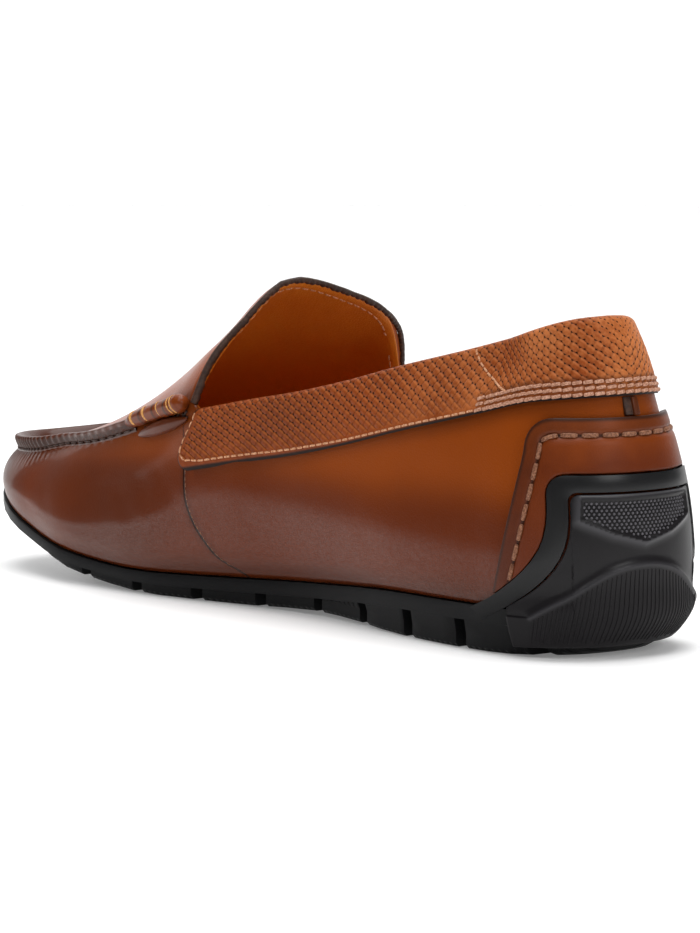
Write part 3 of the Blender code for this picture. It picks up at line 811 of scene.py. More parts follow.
def set_tongue(points):
    """The tongue, squarer at its inner corner and lower on its outer side than its solid."""
    near = 1 - ease(0.024, 0.060, points[:, 0])
    rise = np.interp(points[:, 1], TONGUE_RISE[:, 0], TONGUE_RISE[:, 1])
    moved = points.copy()
    moved[:, 2] += rise * near * ease(0.056, 0.084, points[:, 2])
    moved[:, 1] -= 2.3 * MM * near * bell(points[:, 2] - 0.079, 0.009) * ease(0.010, 0.026, points[:, 1])
    return moved


def set_heel(points):
    """The heel's upper half, standing more upright than its solid."""
    reach = np.abs(reach_of(points) + 0.012)
    full = 2.4 * MM * ease(0.058, 0.084, points[:, 2]) * (1 - ease(0.030, 0.062, reach))
    moved = points.copy()
    moved[:, :2] += unit(from_heel_line(points)) * full[:, None]
    return moved


# Soft creases where the shoe bends: ends as x and height, depth and half width in millimetres
CREASES = np.array((
    (47, 37, 35, 25, 0.18, 3.6), (39, 40, 27, 27, 0.14, 3.2), (56, 33, 47, 21, 0.12, 3.4),
    (2, 33, -12, 21, 0.22, 4.0), (-52, 30, -66, 20, 0.18, 4.5), (98, 26, 88, 18, 0.12, 3.5),
)) * (MM, MM, MM, MM, MM, MM)


def soft_creases(points, facing):
    """Presses the creases in as troughs with a low ridge on each side."""
    moved = points.copy()
    flat = points[:, [0, 2]]
    for x1, z1, x2, z2, depth, width in CREASES:
        line = resample(np.array(((x1, z1), ((x1 + x2) / 2 - 0.0012, (z1 + z2) / 2), (x2, z2))), 0.002)
        gap, along = gap_to(flat, line)
        share = along / np.linalg.norm(np.diff(line, axis=0), axis=1).sum()
        fade = np.sin(math.pi * np.clip(share, 0, 1)) ** 0.8
        form = bell(gap, width) * 1.25 - bell(gap, width * 2.1) * 0.45
        side = np.where(points[:, 1] > 0, 1.0, 0.75)
        moved -= facing * (depth * fade * form * side)[:, None]
    return moved


def make_upper():
    """The upper's leather and lining, from its solid."""
    piece = copy_of("upper", "upper_shell")
    keep_edges(piece, 60, 0.9)
    finish_with(piece, "SUBSURF", levels=2, render_levels=2)
    set_points(piece, set_heel(set_tongue(points_of(piece))))
    remember("shell", piece)
    points = points_of(piece)
    reach = reach_of(points)
    _, top = band_edges(reach)
    start = top - 0.006
    collar = (points[:, 0] < 0.0195) & (points[:, 2] > start) & (points[:, 2] < top + 0.005)
    collar &= (np.abs(points[:, 1]) > 0.029) | (points[:, 0] < -0.05)
    over = points[collar, 2] - start[collar]
    points[collar, 2] = start[collar] + 0.004 * (1 - np.exp(-over / 0.004))
    facing = facing_of(piece)
    outer = faces_out(points, facing)
    aside = unit(facing * (1, 1, 0.2))
    points[outer] += aside[outer] * belly_at(points)[outer][:, None]
    points[outer] = soft_creases(points[outer], facing[outer])
    set_points(piece, points)
    gather_vamp(piece)
    centre, normal = face_arrays(piece)
    inside = np.einsum("ij,ij->i", normal, centre - spine_of(centre)) < 0
    piece.data.polygons.foreach_set("material_index", inside.astype(int))
    note_upper(piece)
    smooth_all(piece)
    settle(piece, (LEATHER, LINING), "upper_leather", "upper")
    remember("leather", piece)


def gather_vamp(piece):
    """Fine mesh along the apron's seam, with the gathers that run down from its stitches."""
    path = resample(APRON_SEAM, 1.0 * MM)
    path = path[path[:, 0] > RIDGE_REAR - 2 * MM]
    form = bmesh.new()
    form.from_mesh(piece.data)
    centres = np.array([face.calc_center_median() for face in form.faces])
    gap, _ = gap_to(centres, path)
    normals = np.array([face.normal for face in form.faces])
    outer = faces_out(centres, normals)
    chosen = np.nonzero((gap < 12 * MM) & outer)[0]
    form.faces.ensure_lookup_table()
    edges = {edge for k in chosen for edge in form.faces[k].edges}
    bmesh.ops.subdivide_edges(form, edges=list(edges), cuts=2, use_grid_fill=True)
    form.verts.ensure_lookup_table()
    places = np.array([vert.co for vert in form.verts])
    gap, _ = gap_to(places, path)
    facing = np.array([vert.normal for vert in form.verts])
    outer = faces_out(places, facing)
    near = [form.verts[k] for k in np.nonzero((gap < 11 * MM) & outer)[0]]
    for _ in range(5):
        bmesh.ops.smooth_vert(form, verts=near, factor=0.5, use_axis_x=True, use_axis_y=True, use_axis_z=True)
    form.to_mesh(piece.data)
    form.free()
    _, _, across = seam_frame(path)
    turns = pleat_turns(path)
    points = points_of(piece)
    facing = facing_of(piece)
    outer = faces_out(points, facing)
    gap, along = gap_to(points, path)
    length = run_of(path)
    at = along_run(along, length, path)
    away = along_run(along, length, across)
    below = np.einsum("ij,ij->i", points - at, away)
    turn = np.interp(along, length, turns)
    toe = ease(0.085, 0.125, at[:, 0])
    fade = ease(0.8 * MM, 2.2 * MM, below) * (1 - ease(2.2 * MM, (4 + 7 * toe) * MM, below)) ** 1.5
    fade *= 0.72 + 0.28 * np.sin(turn * 4.1 + 0.7)
    fade *= outer * (gap < 12 * MM) * ease(0, 4 * MM, at[:, 0] - RIDGE_REAR)
    wander = 0.16 * np.sin(turn * 1.7 + below * 260)
    wave = np.cos(2 * math.pi * (turn + wander * ease(3 * MM, 8 * MM, below)))
    points += facing * ((0.09 + 0.12 * toe) * MM * fade * wave)[:, None]
    set_points(piece, points)
    # Painted shade: how deep each vertex lies in a gather's trough, for the leather to darken
    note(piece, "gather", fade * (0.5 - 0.5 * wave))


def note_upper(piece):
    """What the leather's colour and gloss follow: seams, band, sole's edge, toe, vamp and quarters."""
    points = points_of(piece)
    gap, _ = gap_to(points, resample(APRON_SEAM, 0.002))
    note(piece, "seam", gap)
    line = resample(QUARTER_SEAM, 0.001)
    side = np.interp(points[:, 2], line[::-1, 1], line[::-1, 0])
    flat, _ = gap_to(points[:, [0, 2]], line)
    note(piece, "quarter", np.where(points[:, 0] > side, flat, -flat))
    reach = reach_of(points)
    lines = np.arange(-0.17, 0.1701, 0.004)
    spans = [height_span("collar_band", float(line), 0.03) for line in lines]
    lows = np.array([span[0] if span else 0.042 for span in spans])
    ahead = np.where(points[:, 0] > 0.02, 0.1, 0)
    note(piece, "band", np.abs(points[:, 2] - np.interp(reach, lines, lows)) + ahead)
    note(piece, "foot", points[:, 2] - foot_height(points[:, 0]))
    note(piece, "toe", ease(0.085, 0.142, points[:, 0]))
    line = np.interp(points[:, 0], (-0.140, -0.080, -0.055, 0.0), (0.026, 0.028, 0.030, 0.0335))
    quarters = 1 - ease(0.010, 0.030, points[:, 0])
    note(piece, "sheen", 1 - quarters * ease(-0.003, 0.004, points[:, 2] - line))
    sides = 1 - ease(0.035, 0.050, points[:, 2])
    note(piece, "vamp", ease(0.012, 0.05, points[:, 0]) * (1 - ease(0.09, 0.12, points[:, 0])) * sides)


# Collar band
BAND_STEP = 0.45 * MM
BAND_RISE = 1.5 * MM
FOLD_RADIUS = 2.4 * MM
FACE_ROWS = 42
FOLD_ROWS = 12
TUCK_ROWS = 6


def plait_height(along, up):
    """The same pressed pattern as the band's leather, for its mesh."""
    long = (along * math.cos(PLAIT_LEAN) + up * math.sin(PLAIT_LEAN)) / PLAIT_LONG
    wide = (up * math.cos(PLAIT_LEAN) - along * math.sin(PLAIT_LEAN)) / PLAIT_WIDE
    stagger = long + (np.floor(wide) * 0.5) % 1
    end_gap = (0.5 - np.abs(stagger % 1 - 0.5)) * PLAIT_LONG
    side = np.abs(wide % 1 - 0.5)
    return (1 - (side * 2) ** 3 * 0.62) * (0.55 + 0.45 * ease(0, PLAIT_GROOVE * 1.4, end_gap))


def stretch_ends(lines, values):
    """Carries a measured run on straight past both its ends."""
    first = values[0] - (values[1] - values[0]) * 4
    last = values[-1] + (values[-1] - values[-2]) * 4
    step = lines[1] - lines[0]
    lines = np.concatenate([[lines[0] - 4 * step], lines, [lines[-1] + 4 * step]])
    return lines, np.concatenate([[first], values, [last]])


def band_edges(reaches):
    """The band's lowest height and the wall's top at each reach."""
    spans = np.array([height_span("collar_band", float(reach), 0.03) for reach in BAND_LINES])
    lows, tops = spans[:, 0], spans[:, 1]
    middle = np.array([lows[max(0, k - 1):k + 2].max() for k in range(len(lows))])
    lows = np.where(middle - lows > 4 * MM, middle, lows)
    lows[1:-1] = (lows[:-2] + 2 * lows[1:-1] + lows[2:]) / 4
    sides = np.abs(BAND_LINES) < 0.1
    tops = tops - np.median(tops[sides] - collar_top(BAND_LINES[sides]))
    return (np.interp(reaches, *stretch_ends(BAND_LINES, lows)),
            np.interp(reaches, *stretch_ends(BAND_LINES, tops)))


def over_fold(values):
    """Values on the band's face, with its top ones carried on over the fold and the tuck."""
    return np.pad(values, ((0, 0), (0, FOLD_ROWS + TUCK_ROWS)), mode="edge")


def make_collar_band():
    """The pressed leather round the opening, folded over the top of the wall."""
    end = QUARTER_TURN + BAND_END + BAND_REACHES - HEEL_AXIS[0]
    columns = 2 * int(end / BAND_STEP) + 1
    rows = FACE_ROWS + FOLD_ROWS + TUCK_ROWS
    bpy.ops.object.select_all(action="DESELECT")
    bpy.ops.mesh.primitive_grid_add(x_subdivisions=columns - 1, y_subdivisions=rows - 1, size=2)
    piece = bpy.context.object
    piece.name = "collar_band_leather"
    grid = points_of(piece)
    column = np.rint((grid[:, 0] + 1) / 2 * (columns - 1)).astype(int)
    row = np.rint((grid[:, 1] + 1) / 2 * (rows - 1)).astype(int)
    middle = np.linspace(-end, end, columns)
    low, top = band_edges(middle)
    high = top - FOLD_RADIUS + 0.2 * MM
    rise = np.linspace(0, 1, FACE_ROWS)
    height = low[:, None] + (high - low)[:, None] * rise[None, :]
    above = height - low[:, None]
    corner = BAND_CORNER - np.sqrt(BAND_CORNER ** 2 - np.clip(BAND_CORNER - above, 0, BAND_CORNER) ** 2)
    corner = corner + BAND_REACHES * ease(0, 20 * MM, above)
    inward = ease(0.090, end, np.abs(middle))[:, None]
    reach = middle[:, None] - np.sign(middle)[:, None] * corner * inward
    base = lay_grid(reach, height)
    normal = unit(np.cross(np.gradient(base, axis=0), np.gradient(base, axis=1)))
    out = np.array([look_in(float(r))[1] for r in middle])[:, None, :]
    normal *= np.sign(np.sum(normal * out, axis=2, keepdims=True))
    fade = ease(1.6 * MM, 3.0 * MM, above) * ease(1.5 * MM, 3.0 * MM, end - corner - np.abs(reach))
    heel = 1 - ease(6 * MM, 16 * MM, np.abs(reach))
    plain = 1 - heel * ease(12.5 * MM, 17 * MM, above)
    round_off = 0.5 * MM * (1 - ease(0, 0.9 * MM, np.minimum(above, end - corner - np.abs(reach))))
    lift = BAND_RISE - round_off + 0.26 * MM * (plait_height(np.abs(reach), above) - 1) * fade * plain
    face = base + normal * lift[..., None]
    up = unit(base[:, -1] - base[:, -3])
    heart = base[:, -1] - normal[:, -1] * (FOLD_RADIUS - BAND_RISE)
    folds = []
    for angle in np.linspace(0, math.pi, FOLD_ROWS + 1)[1:]:
        folds.append(heart + (normal[:, -1] * math.cos(angle) + up * math.sin(angle)) * FOLD_RADIUS)
    for drop in np.linspace(0, 3.5 * MM, TUCK_ROWS + 1)[1:]:
        folds.append(folds[FOLD_ROWS - 1] - up * drop)
    sheet = np.concatenate([face, np.stack(folds, axis=1)], axis=1)
    set_points(piece, sheet[column, row])
    rolled = np.arange(1, FOLD_ROWS + TUCK_ROWS + 1) * FOLD_RADIUS * math.pi / FOLD_ROWS
    up_all = np.concatenate([above, above[:, -1:] + rolled[None, :]], axis=1)
    along_all = over_fold(reach)
    map_by_vertex(piece, np.stack([along_all[column, row], up_all[column, row]], axis=1))
    edge_gap = np.minimum(up_all, np.maximum(end - np.abs(along_all) - over_fold(corner), 0))
    note(piece, "cut", edge_gap[column, row])
    fold_fade = np.concatenate([np.ones(FACE_ROWS), np.linspace(1, 0, FOLD_ROWS), np.zeros(TUCK_ROWS)])
    note(piece, "pressed", (over_fold(plain * fade) * fold_fade[None, :])[column, row])
    # How far towards the heel the band gets its painted highlight
    note(piece, "rear", 1 - ease(0.030, 0.105, np.abs(along_all[column, row])))
    heel_rows = (1 - ease(0.052, 0.058, np.abs(along_all))) * (1 - ease(4.8 * MM, 6.0 * MM, up_all))
    note(piece, "rows", heel_rows[column, row])
    whole_fade = over_fold(fade) * fold_fade[None, :]
    note(piece, "pricked", (whole_fade * ease(3 * MM, 8 * MM, up_all))[column, row])
    centre, _ = face_arrays(piece)
    face_out(piece, centre - spine_of(centre), centre[:, 2] < 0.06)
    finish_with(piece, "SOLIDIFY", thickness=1.0 * MM, offset=-1.0)
    smooth_all(piece, 50)
    settle(piece, (BAND,), "band_leather", "collar_band")
    remember("band", piece)


def lay_grid(reach, height):
    """Places on the smooth shell at a grid of reaches and heights, carried on straight above its rim."""
    rims = np.interp(reach[:, 0], BAND_LINES, collar_top(BAND_LINES)) - 1.6 * MM
    places = np.zeros((*reach.shape, 3))
    for column, rim in enumerate(rims):
        for row in range(reach.shape[1]):
            place = None
            if height[column, row] < rim:
                place, _ = touch("shell", float(reach[column, row]), float(height[column, row]))
            if place is None:
                rise = (places[column, row - 1] - places[column, row - 5]) / 4
                place = places[column, row - 1] + rise
            places[column, row] = place
    return places


# Stitches
def model_stitch():
    """One stitch, a millimetre long and wide, with rounded ends that dive into the leather."""
    bpy.ops.object.select_all(action="DESELECT")
    bpy.ops.mesh.primitive_cylinder_add(vertices=8, radius=0.5, depth=1.0, end_fill_type="NGON")
    piece = bpy.context.object
    bpy.ops.object.mode_set(mode="EDIT")
    bpy.ops.mesh.select_all(action="SELECT")
    bpy.ops.transform.rotate(value=math.pi / 2, orient_axis="Y", center_override=(0, 0, 0))
    bpy.ops.mesh.select_all(action="DESELECT")
    form = bmesh.from_edit_mesh(piece.data)
    for face in form.faces:
        face.select_set(len(face.verts) == 8)
    bmesh.update_edit_mesh(piece.data)
    bpy.ops.mesh.bevel(offset=0.16, segments=2, affect="EDGES")
    bpy.ops.mesh.select_all(action="SELECT")
    bpy.ops.mesh.bisect(plane_co=(0, 0, 0), plane_no=(1, 0, 0))
    bpy.ops.object.mode_set(mode="OBJECT")
    points = points_of(piece)
    points[:, 2] -= 1.6 * points[:, 0] ** 2
    faces = [tuple(face.vertices) for face in piece.data.polygons]
    bpy.data.objects.remove(piece)
    return points, faces


STITCH = model_stitch()


def stitch_frames(node, flat, pitch):
    """Middles, runs and facings of the stitches along a flat path on a piece."""
    ends = resample(flat, pitch)
    places, _ = touch_all(node, ends)
    mids, facings = touch_all(node, (ends[1:] + ends[:-1]) / 2)
    runs = unit(places[1:] - places[:-1])
    facings = unit(facings - runs * np.sum(facings * runs, axis=1, keepdims=True))
    return mids, runs, facings


def sew(name, frames, length, width, finish, slot, seat=0.25, thick=0.8, lean=0.0):
    """A row of stitches as one piece. seat is how far their middles stand out, in widths."""
    shape, shape_faces = STITCH
    points = []
    faces = []
    for middle, run, facing in zip(*frames):
        side = np.cross(facing, run)
        skew = unit(run + side * lean)
        across = np.cross(facing, skew)
        start = len(points) * len(shape)
        body = (middle + facing * seat * width + shape[:, :1] * length * skew
                + shape[:, 1:2] * width * across + shape[:, 2:] * width * thick * facing)
        points.append(body)
        faces += [tuple(start + i for i in face) for face in shape_faces]
    piece = new_piece(name, np.concatenate(points), faces)
    smooth_all(piece)
    settle(piece, (finish,), slot)


# The curved row of the band, as reach and height
CURVED_ROW = np.array((
    (62.8, 81.3), (60.5, 78.6), (56.9, 76.1), (52.8, 74.0), (47.9, 72.1), (42.5, 70.6),
)) * MM


def band_stitches():
    """The row along the band's cut edge, the rows above it at the heel and the curved row."""
    end = QUARTER_TURN + BAND_END + BAND_REACHES - HEEL_AXIS[0]
    low, _ = band_edges(BAND_LINES)
    inset = 1.4 * MM
    corner_low = float(np.interp(end - BAND_CORNER, BAND_LINES, low))
    corners = []
    for angle in np.linspace(0, math.pi / 2, 5)[1:]:
        radius = BAND_CORNER - inset
        above = BAND_CORNER - radius * math.cos(angle)
        reach = end - BAND_CORNER + radius * math.sin(angle) - BAND_REACHES * float(ease(0, 20 * MM, above))
        corners.append((reach, corner_low + above - 0.6 * MM))
    for above in (8.0 * MM, 12.0 * MM, 15.5 * MM):
        corners.append((end - inset - BAND_REACHES * float(ease(0, 20 * MM, above)), corner_low + above))
    front_lines = np.arange(0.056, end - BAND_CORNER, 0.004)
    front_low = np.interp(front_lines, BAND_LINES, low)
    front = np.concatenate([np.stack([front_lines, front_low + inset], axis=1), corners])
    for label, side in (("inner", 1), ("outer", -1)):
        level = np.interp(side * front[:, 0], BAND_LINES, low) - np.interp(front[:, 0], BAND_LINES, low)
        path = np.stack([side * front[:, 0], front[:, 1] + level], axis=1)
        frames = stitch_frames("band", path, 2.9 * MM)
        sew("band_edge_%s_stitches" % label, frames, 2.3 * MM, 0.62 * MM, FINE_THREAD, "band_leather")
    heel_lines = np.arange(-0.056, 0.0561, 0.002)
    heel_low = np.interp(heel_lines, BAND_LINES, low)
    for number, gap in enumerate((1.3 * MM, 2.9 * MM, 4.5 * MM)):
        path = np.stack([heel_lines, heel_low + gap], axis=1)
        frames = stitch_frames("band", path[number % 2:], 3.15 * MM)
        name = "band_heel_stitches_%d" % (number + 1)
        sew(name, frames, 2.7 * MM, 1.00 * MM, ROPE_THREAD, "band_leather", seat=0.15, thick=0.65, lean=0.10)
    for number, side in enumerate((1, -1)):
        frames = stitch_frames("band", CURVED_ROW * (side, 1), 2.4 * MM)
        sew("band_curved_stitches_%d" % (number + 1), frames, 1.9 * MM, 0.6 * MM, FINE_THREAD, "band_leather")


# Heel counter and tab
COUNTER_STITCH_INSET = 4.6 * MM


def make_counter():
    """The counter, with a raised rim outside the groove of its heavy stitches."""
    piece = copy_of("heel_counter", "heel_counter_leather")
    keep_edges(piece, 55, 0.55)
    finish_with(piece, "SUBSURF", levels=3, render_levels=3)
    points = points_of(piece)
    reach = reach_of(points)
    flat = np.stack([reach, points[:, 2]], axis=1)
    outline = resample(outline_round("heel_counter", 0.017), 1.0 * MM)
    gap, _ = gap_to(flat, outline)
    facing = facing_of(piece)
    outside = np.sum(facing[:, :2] * unit(from_heel_line(points)), axis=1) > REAR_FACING
    groove = bell(gap - COUNTER_STITCH_INSET, 0.75 * MM)
    rim = ease(0, 1.0 * MM, gap) * (1 - ease(3.6 * MM, 4.6 * MM, gap))
    inner = ease(4.8 * MM, 7.5 * MM, gap)
    lift = (0.10 * rim + 0.28 * inner - 0.70 * groove) * MM
    points[outside] += facing[outside] * lift[outside][:, None]
    set_points(piece, points)
    # The rim value: a darker burnished band and edge, and painted shade in the stitch groove
    edge = 0.5 * (1 - ease(0.2 * MM, 1.4 * MM, gap))
    note(piece, "rim", np.maximum(0.50 * (1 - ease(3.4 * MM, 7.0 * MM, gap)) + edge, 0.95 * groove))
    smooth_all(piece)
    settle(piece, (TRIM,), "trim_leather", "heel_counter")
    remember("counter", piece)
    path = shift_path(outline, COUNTER_STITCH_INSET)
    path = path[path[:, 1] > 0.020]
    frames = stitch_frames("counter", path, 5.5 * MM)
    sew("counter_stitches", frames, 4.6 * MM, 1.35 * MM, HEAVY_THREAD, "trim_leather", seat=0.35, thick=0.85)


def make_tab():
    """The folded loop at the back: a strap that comes out under the band and goes down into the counter."""
    piece = copy_of("heel_tab", "heel_tab_leather")
    finish_with(piece, "BEVEL", width=0.35 * MM, segments=2, limit_method="ANGLE")
    smooth_all(piece, 40)
    points = points_of(piece)
    middle = (points.min(axis=0) + points.max(axis=0)) / 2
    set_points(piece, middle + (points - middle) * (1.0, 1.05, 1.04))
    settle(piece, (EDGE,), "trim_leather", "heel_tab")
    strand = add_object("heel_tab_fold", piece.data.copy())
    points = points_of(strand)
    middle = (points.min(axis=0) + points.max(axis=0)) / 2
    set_points(strand, middle + (points - middle) * (1.0, 0.46, 1.0) - (0.7 * MM, 1.2 * MM, 0))
    strand.data.materials.clear()
    note(strand, "rim", np.full(len(strand.data.vertices), 0.75))
    settle(strand, (TRIM,), "trim_leather")


# Apron seam
RIDGE_HALF = 2.6 * MM

# Across the ridge: place from its inner foot to its outer one, and height in millimetres
RIDGE_PROFILE = np.array((
    (-1.0, 0.0), (-0.9, 0.55), (-0.72, 1.45), (-0.46, 2.25), (-0.18, 2.70), (0.12, 2.78),
    (0.36, 2.45), (0.52, 1.75), (0.61, 1.00), (0.69, 0.42), (0.78, 0.45), (0.89, 0.32), (1.0, 0.0),
))


def seam_frame(path):
    """Runs, facings and sideways directions along the apron seam."""
    run = unit(np.gradient(path, axis=0))
    outward = unit(path - spine_of(path))
    facing = outward
    for _ in range(3):
        across = unit(np.cross(facing, run))
        total = np.zeros_like(path)
        for side in (-1, 1):
            above = path + across * side * 3.5 * MM + facing * 2.5 * MM
            near = nearest_on("shell", above)[1]
            total += np.where(np.sum(near * outward, axis=1, keepdims=True) > 0, near, outward)
        facing = unit(total)
        for _ in range(20):
            ends = np.concatenate([facing[:1], facing, facing[-1:]])
            facing = unit(ends[:-2] + ends[1:-1] + ends[2:])
    across = unit(np.cross(facing, run))
    return run, facing, across


def pleat_turns(path):
    """How many gathers have passed at each place along the seam: close at the toe, wide behind it."""
    toe = ease(0.078, 0.118, path[:, 0])
    pitch = (4.9 - 3.0 * toe) * MM
    step = np.linalg.norm(np.diff(path, axis=0), axis=1)
    return np.concatenate([[0], np.cumsum(step / ((pitch[1:] + pitch[:-1]) / 2))])


def make_ridge():
    """The sides' edge, stood up over the apron's and gathered along its stitches."""
    path = resample(APRON_SEAM, 0.35 * MM)
    path = path[path[:, 0] > RIDGE_REAR]
    run, facing, across = seam_frame(path)
    turns = pleat_turns(path)
    fade = ease(0, 3 * MM, path[:, 0] - RIDGE_REAR)
    toe = ease(0.085, 0.120, path[:, 0])
    rear = ease(0.075, 0.055, path[:, 0])
    far = toe * ease(0.012, -0.010, path[:, 1])
    tall = 1.0 + 0.40 * toe + 0.20 * rear + 0.25 * far
    feet = {}
    for side in (-1, 1):
        above = path + across * side * RIDGE_HALF + facing * 1.0 * MM
        feet[side] = nearest_on("shell", above)[0]
    profile = resample(RIDGE_PROFILE, 0.12)
    rings = []
    wave = np.cos(2 * math.pi * turns)
    for side, high in profile:
        foot = feet[1 if side > 0 else -1]
        base = path + (foot - path) * abs(side)
        gather = bell(side - 0.42, 0.33)
        hole = bell(side - 0.66, 0.12) * (0.5 - 0.5 * wave)
        height = (high * tall * (0.82 + 0.18 * fade) + 0.10 * gather * wave - 0.45 * hole - 0.12) * MM
        fold = (0.12 + 0.20 * ease(0.075, 0.12, path[:, 0])) * gather * wave * MM
        rings.append(base + facing * height[:, None] + across * fold[:, None])
    rings = np.stack(rings, axis=1)
    count = rings.shape[1]
    faces = []
    for i in range(len(path) - 1):
        for k in range(count - 1):
            a = i * count + k
            faces.append((a, a + 1, a + count + 1, a + count))
    piece = new_piece("apron_ridge", rings.reshape(-1, 3), faces)
    face_out(piece, np.repeat(facing[:-1], count - 1, axis=0))
    # A darker tone over the whole ridge, with painted shade along the sunken line of its stitches
    shade = np.tile(0.62 + 0.6 * bell(profile[:, 0] - 0.66, 0.2), (len(path), 1))
    gathered = (1 - wave) * ease(0.075, 0.12, path[:, 0])
    # Painted shade in the troughs of the gathered folds
    folds = 0.35 * gathered[:, None] * bell(profile[:, 0] - 0.42, 0.4)[None, :]
    note(piece, "rim", (shade + folds).ravel())
    finish_with(piece, "SOLIDIFY", thickness=0.3 * MM, offset=-1.0)
    smooth_all(piece, 60)
    settle(piece, (SEAM_LEATHER,), "trim_leather", "moc_seam")
    line = path + (feet[1] - path) * 0.66 + facing * 0.45 * MM
    whole = np.arange(int(np.ceil(turns[0] + 0.5)), int(turns[-1] - 0.5))
    mids = along_run(whole, turns, line)
    runs = unit(along_run(whole, turns, run))
    faces_at = unit(along_run(whole, turns, facing + across * 0.8))
    rows = np.arange(len(turns))
    gaps = np.interp(whole + 0.5, turns, rows) - np.interp(whole - 0.5, turns, rows)
    near = gaps < 8.5
    for label, keep, length in (("toe", near, 1.35 * MM), ("side", ~near, 3.4 * MM)):
        frames = (mids[keep], runs[keep], faces_at[keep])
        sew("apron_%s_stitches" % label, frames, length, 0.7 * MM, SEAM_THREAD, "trim_leather", seat=0.15)


def tube_along(name, path, radii, up=(0, 0, 1.0), flatten=1.0, sides=14):
    """A closed tube through points, each with its own radius."""
    run = unit(np.gradient(path, axis=0))
    across = unit(np.cross(run, np.asarray(up)))
    raised = np.cross(across, run)
    spokes = np.linspace(0, 2 * math.pi, sides, endpoint=False)
    rings = (path[:, None, :] + (across[:, None, :] * np.cos(spokes)[None, :, None]
             + raised[:, None, :] * np.sin(spokes)[None, :, None] * flatten) * radii[:, None, None])
    faces = []
    for i in range(len(path) - 1):
        for k in range(sides):
            a = i * sides + k
            b = i * sides + (k + 1) % sides
            faces.append((a, b, b + sides, a + sides))
    faces.append(tuple(range(sides))[::-1])
    last = (len(path) - 1) * sides
    faces.append(tuple(range(last, last + sides)))
    piece = new_piece(name, rings.reshape(-1, 3), faces)
    face_out(piece)
    return piece


ROLL_RADIUS = 2.9 * MM
ROLL_LIFT = 1.9 * MM
ROLL_SIDES = 22

# Shares of a roll's length at which it is drawn in and at which shade is painted into its creases, and its
# laces with their thickness
ROLL_PINCHES = (0.16, 0.39, 0.63, 0.86)
ROLL_CREASE_SHADES = (0.24, 0.45, 0.69, 0.93)
ROLL_LACES = ((0.12, 0.20), (0.19, 0.22), (0.39, 0.20), (0.63, 0.42), (0.86, 0.50))


def make_rolls():
    """The rolled ends of the seam, with their laces, the crossed stitches beside them and the flaps below."""
    for label, side, node in (("inner", 1, "seam_roll_inner"), ("outer", -1, "seam_roll_outer")):
        half = APRON_SEAM[:8] if side > 0 else APRON_SEAM[:-9:-1]
        path = resample(half, 0.5 * MM)
        run, facing, across = seam_frame(path)
        across *= side
        keep = (path[:, 0] > ROLL_SPAN[0]) & (path[:, 0] < ROLL_SPAN[1])
        path, run, facing, across = path[keep], run[keep], facing[keep], across[keep]
        heart = path + facing * ROLL_LIFT
        for _ in range(12):
            heart[1:-1] = (heart[:-2] + heart[1:-1] * 2 + heart[2:]) / 4
        share = np.linspace(0, 1, len(heart))
        pinch = sum(bell(share - place, 0.035) for place in ROLL_PINCHES)
        radii = ROLL_RADIUS * (1 - 0.22 * share - 0.30 * ease(0.88, 1.0, share)) * (1 - 0.10 * pinch)
        radii *= 1 - 0.35 * (1 - ease(0, 0.07, share))
        roll = tube_along("seam_roll_%s_leather" % label, heart, radii, sides=ROLL_SIDES)
        # Painted shade in the creases between the roll's wraps and on its lower side
        creases = sum(bell(share - place, 0.020) for place in ROLL_CREASE_SHADES)
        spokes = np.linspace(0, 2 * math.pi, ROLL_SIDES, endpoint=False)
        below = np.clip(-np.sin(spokes), 0, 1)[None, :] * np.clip(np.cos(spokes) * 3, 0, 1)[None, :]
        note(roll, "rim", (0.12 + 0.75 * np.minimum(creases, 1)[:, None] + 0.35 * below).ravel())
        smooth_all(roll)
        settle(roll, (SEAM_LEATHER,), "trim_leather", node)
        for number, (lace, thick) in enumerate(ROLL_LACES):
            at = int(lace * (len(heart) - 1))
            turn = np.linspace(-0.05 * math.pi, 1.25 * math.pi, 30)[:, None]
            spoke = across[at] * np.cos(turn) + facing[at] * np.sin(turn)
            loop = heart[at] + spoke * (radii[at] + 0.06 * MM) - run[at] * np.cos(turn) * 0.8 * MM
            ends = np.sin(np.linspace(0.12, math.pi - 0.12, 30)) ** 0.4
            name = "seam_lace_%s_%d" % (label, number + 1)
            up = facing[at] + run[at] * 0.01
            ring = tube_along(name, loop, thick * 1.5 * MM * ends, up=up, flatten=0.45, sides=10)
            smooth_all(ring)
            settle(ring, (LACE_TAN,), "trim_leather")
        beside = path + across * 3.0 * MM
        steps = np.arange(6, len(path) - 8, 8)
        mids, facings = nearest_on("shell", beside[steps])
        frames = (mids, run[steps], facings)
        for way, lean in (("over", 0.75), ("under", -0.75)):
            name = "seam_cross_%s_%s" % (label, way)
            sew(name, frames, 3.6 * MM, 0.75 * MM, SEAM_THREAD, "trim_leather", seat=0.2, lean=lean)
        under = (path[:, 0] > 22.5 * MM) & (path[:, 0] < 47 * MM)
        feet, _ = nearest_on("shell", (path + across * 4.6 * MM)[under])
        swell = np.sin(np.linspace(0.05, math.pi - 0.05, len(feet))) ** 0.6
        flap = tube_along("seam_flap_%s" % label, feet + facing[under] * 0.7 * MM, 2.2 * MM * swell, sides=14)
        note(flap, "rim", np.full(len(flap.data.vertices), 0.55))
        smooth_all(flap)
        settle(flap, (SEAM_LEATHER,), "trim_leather")


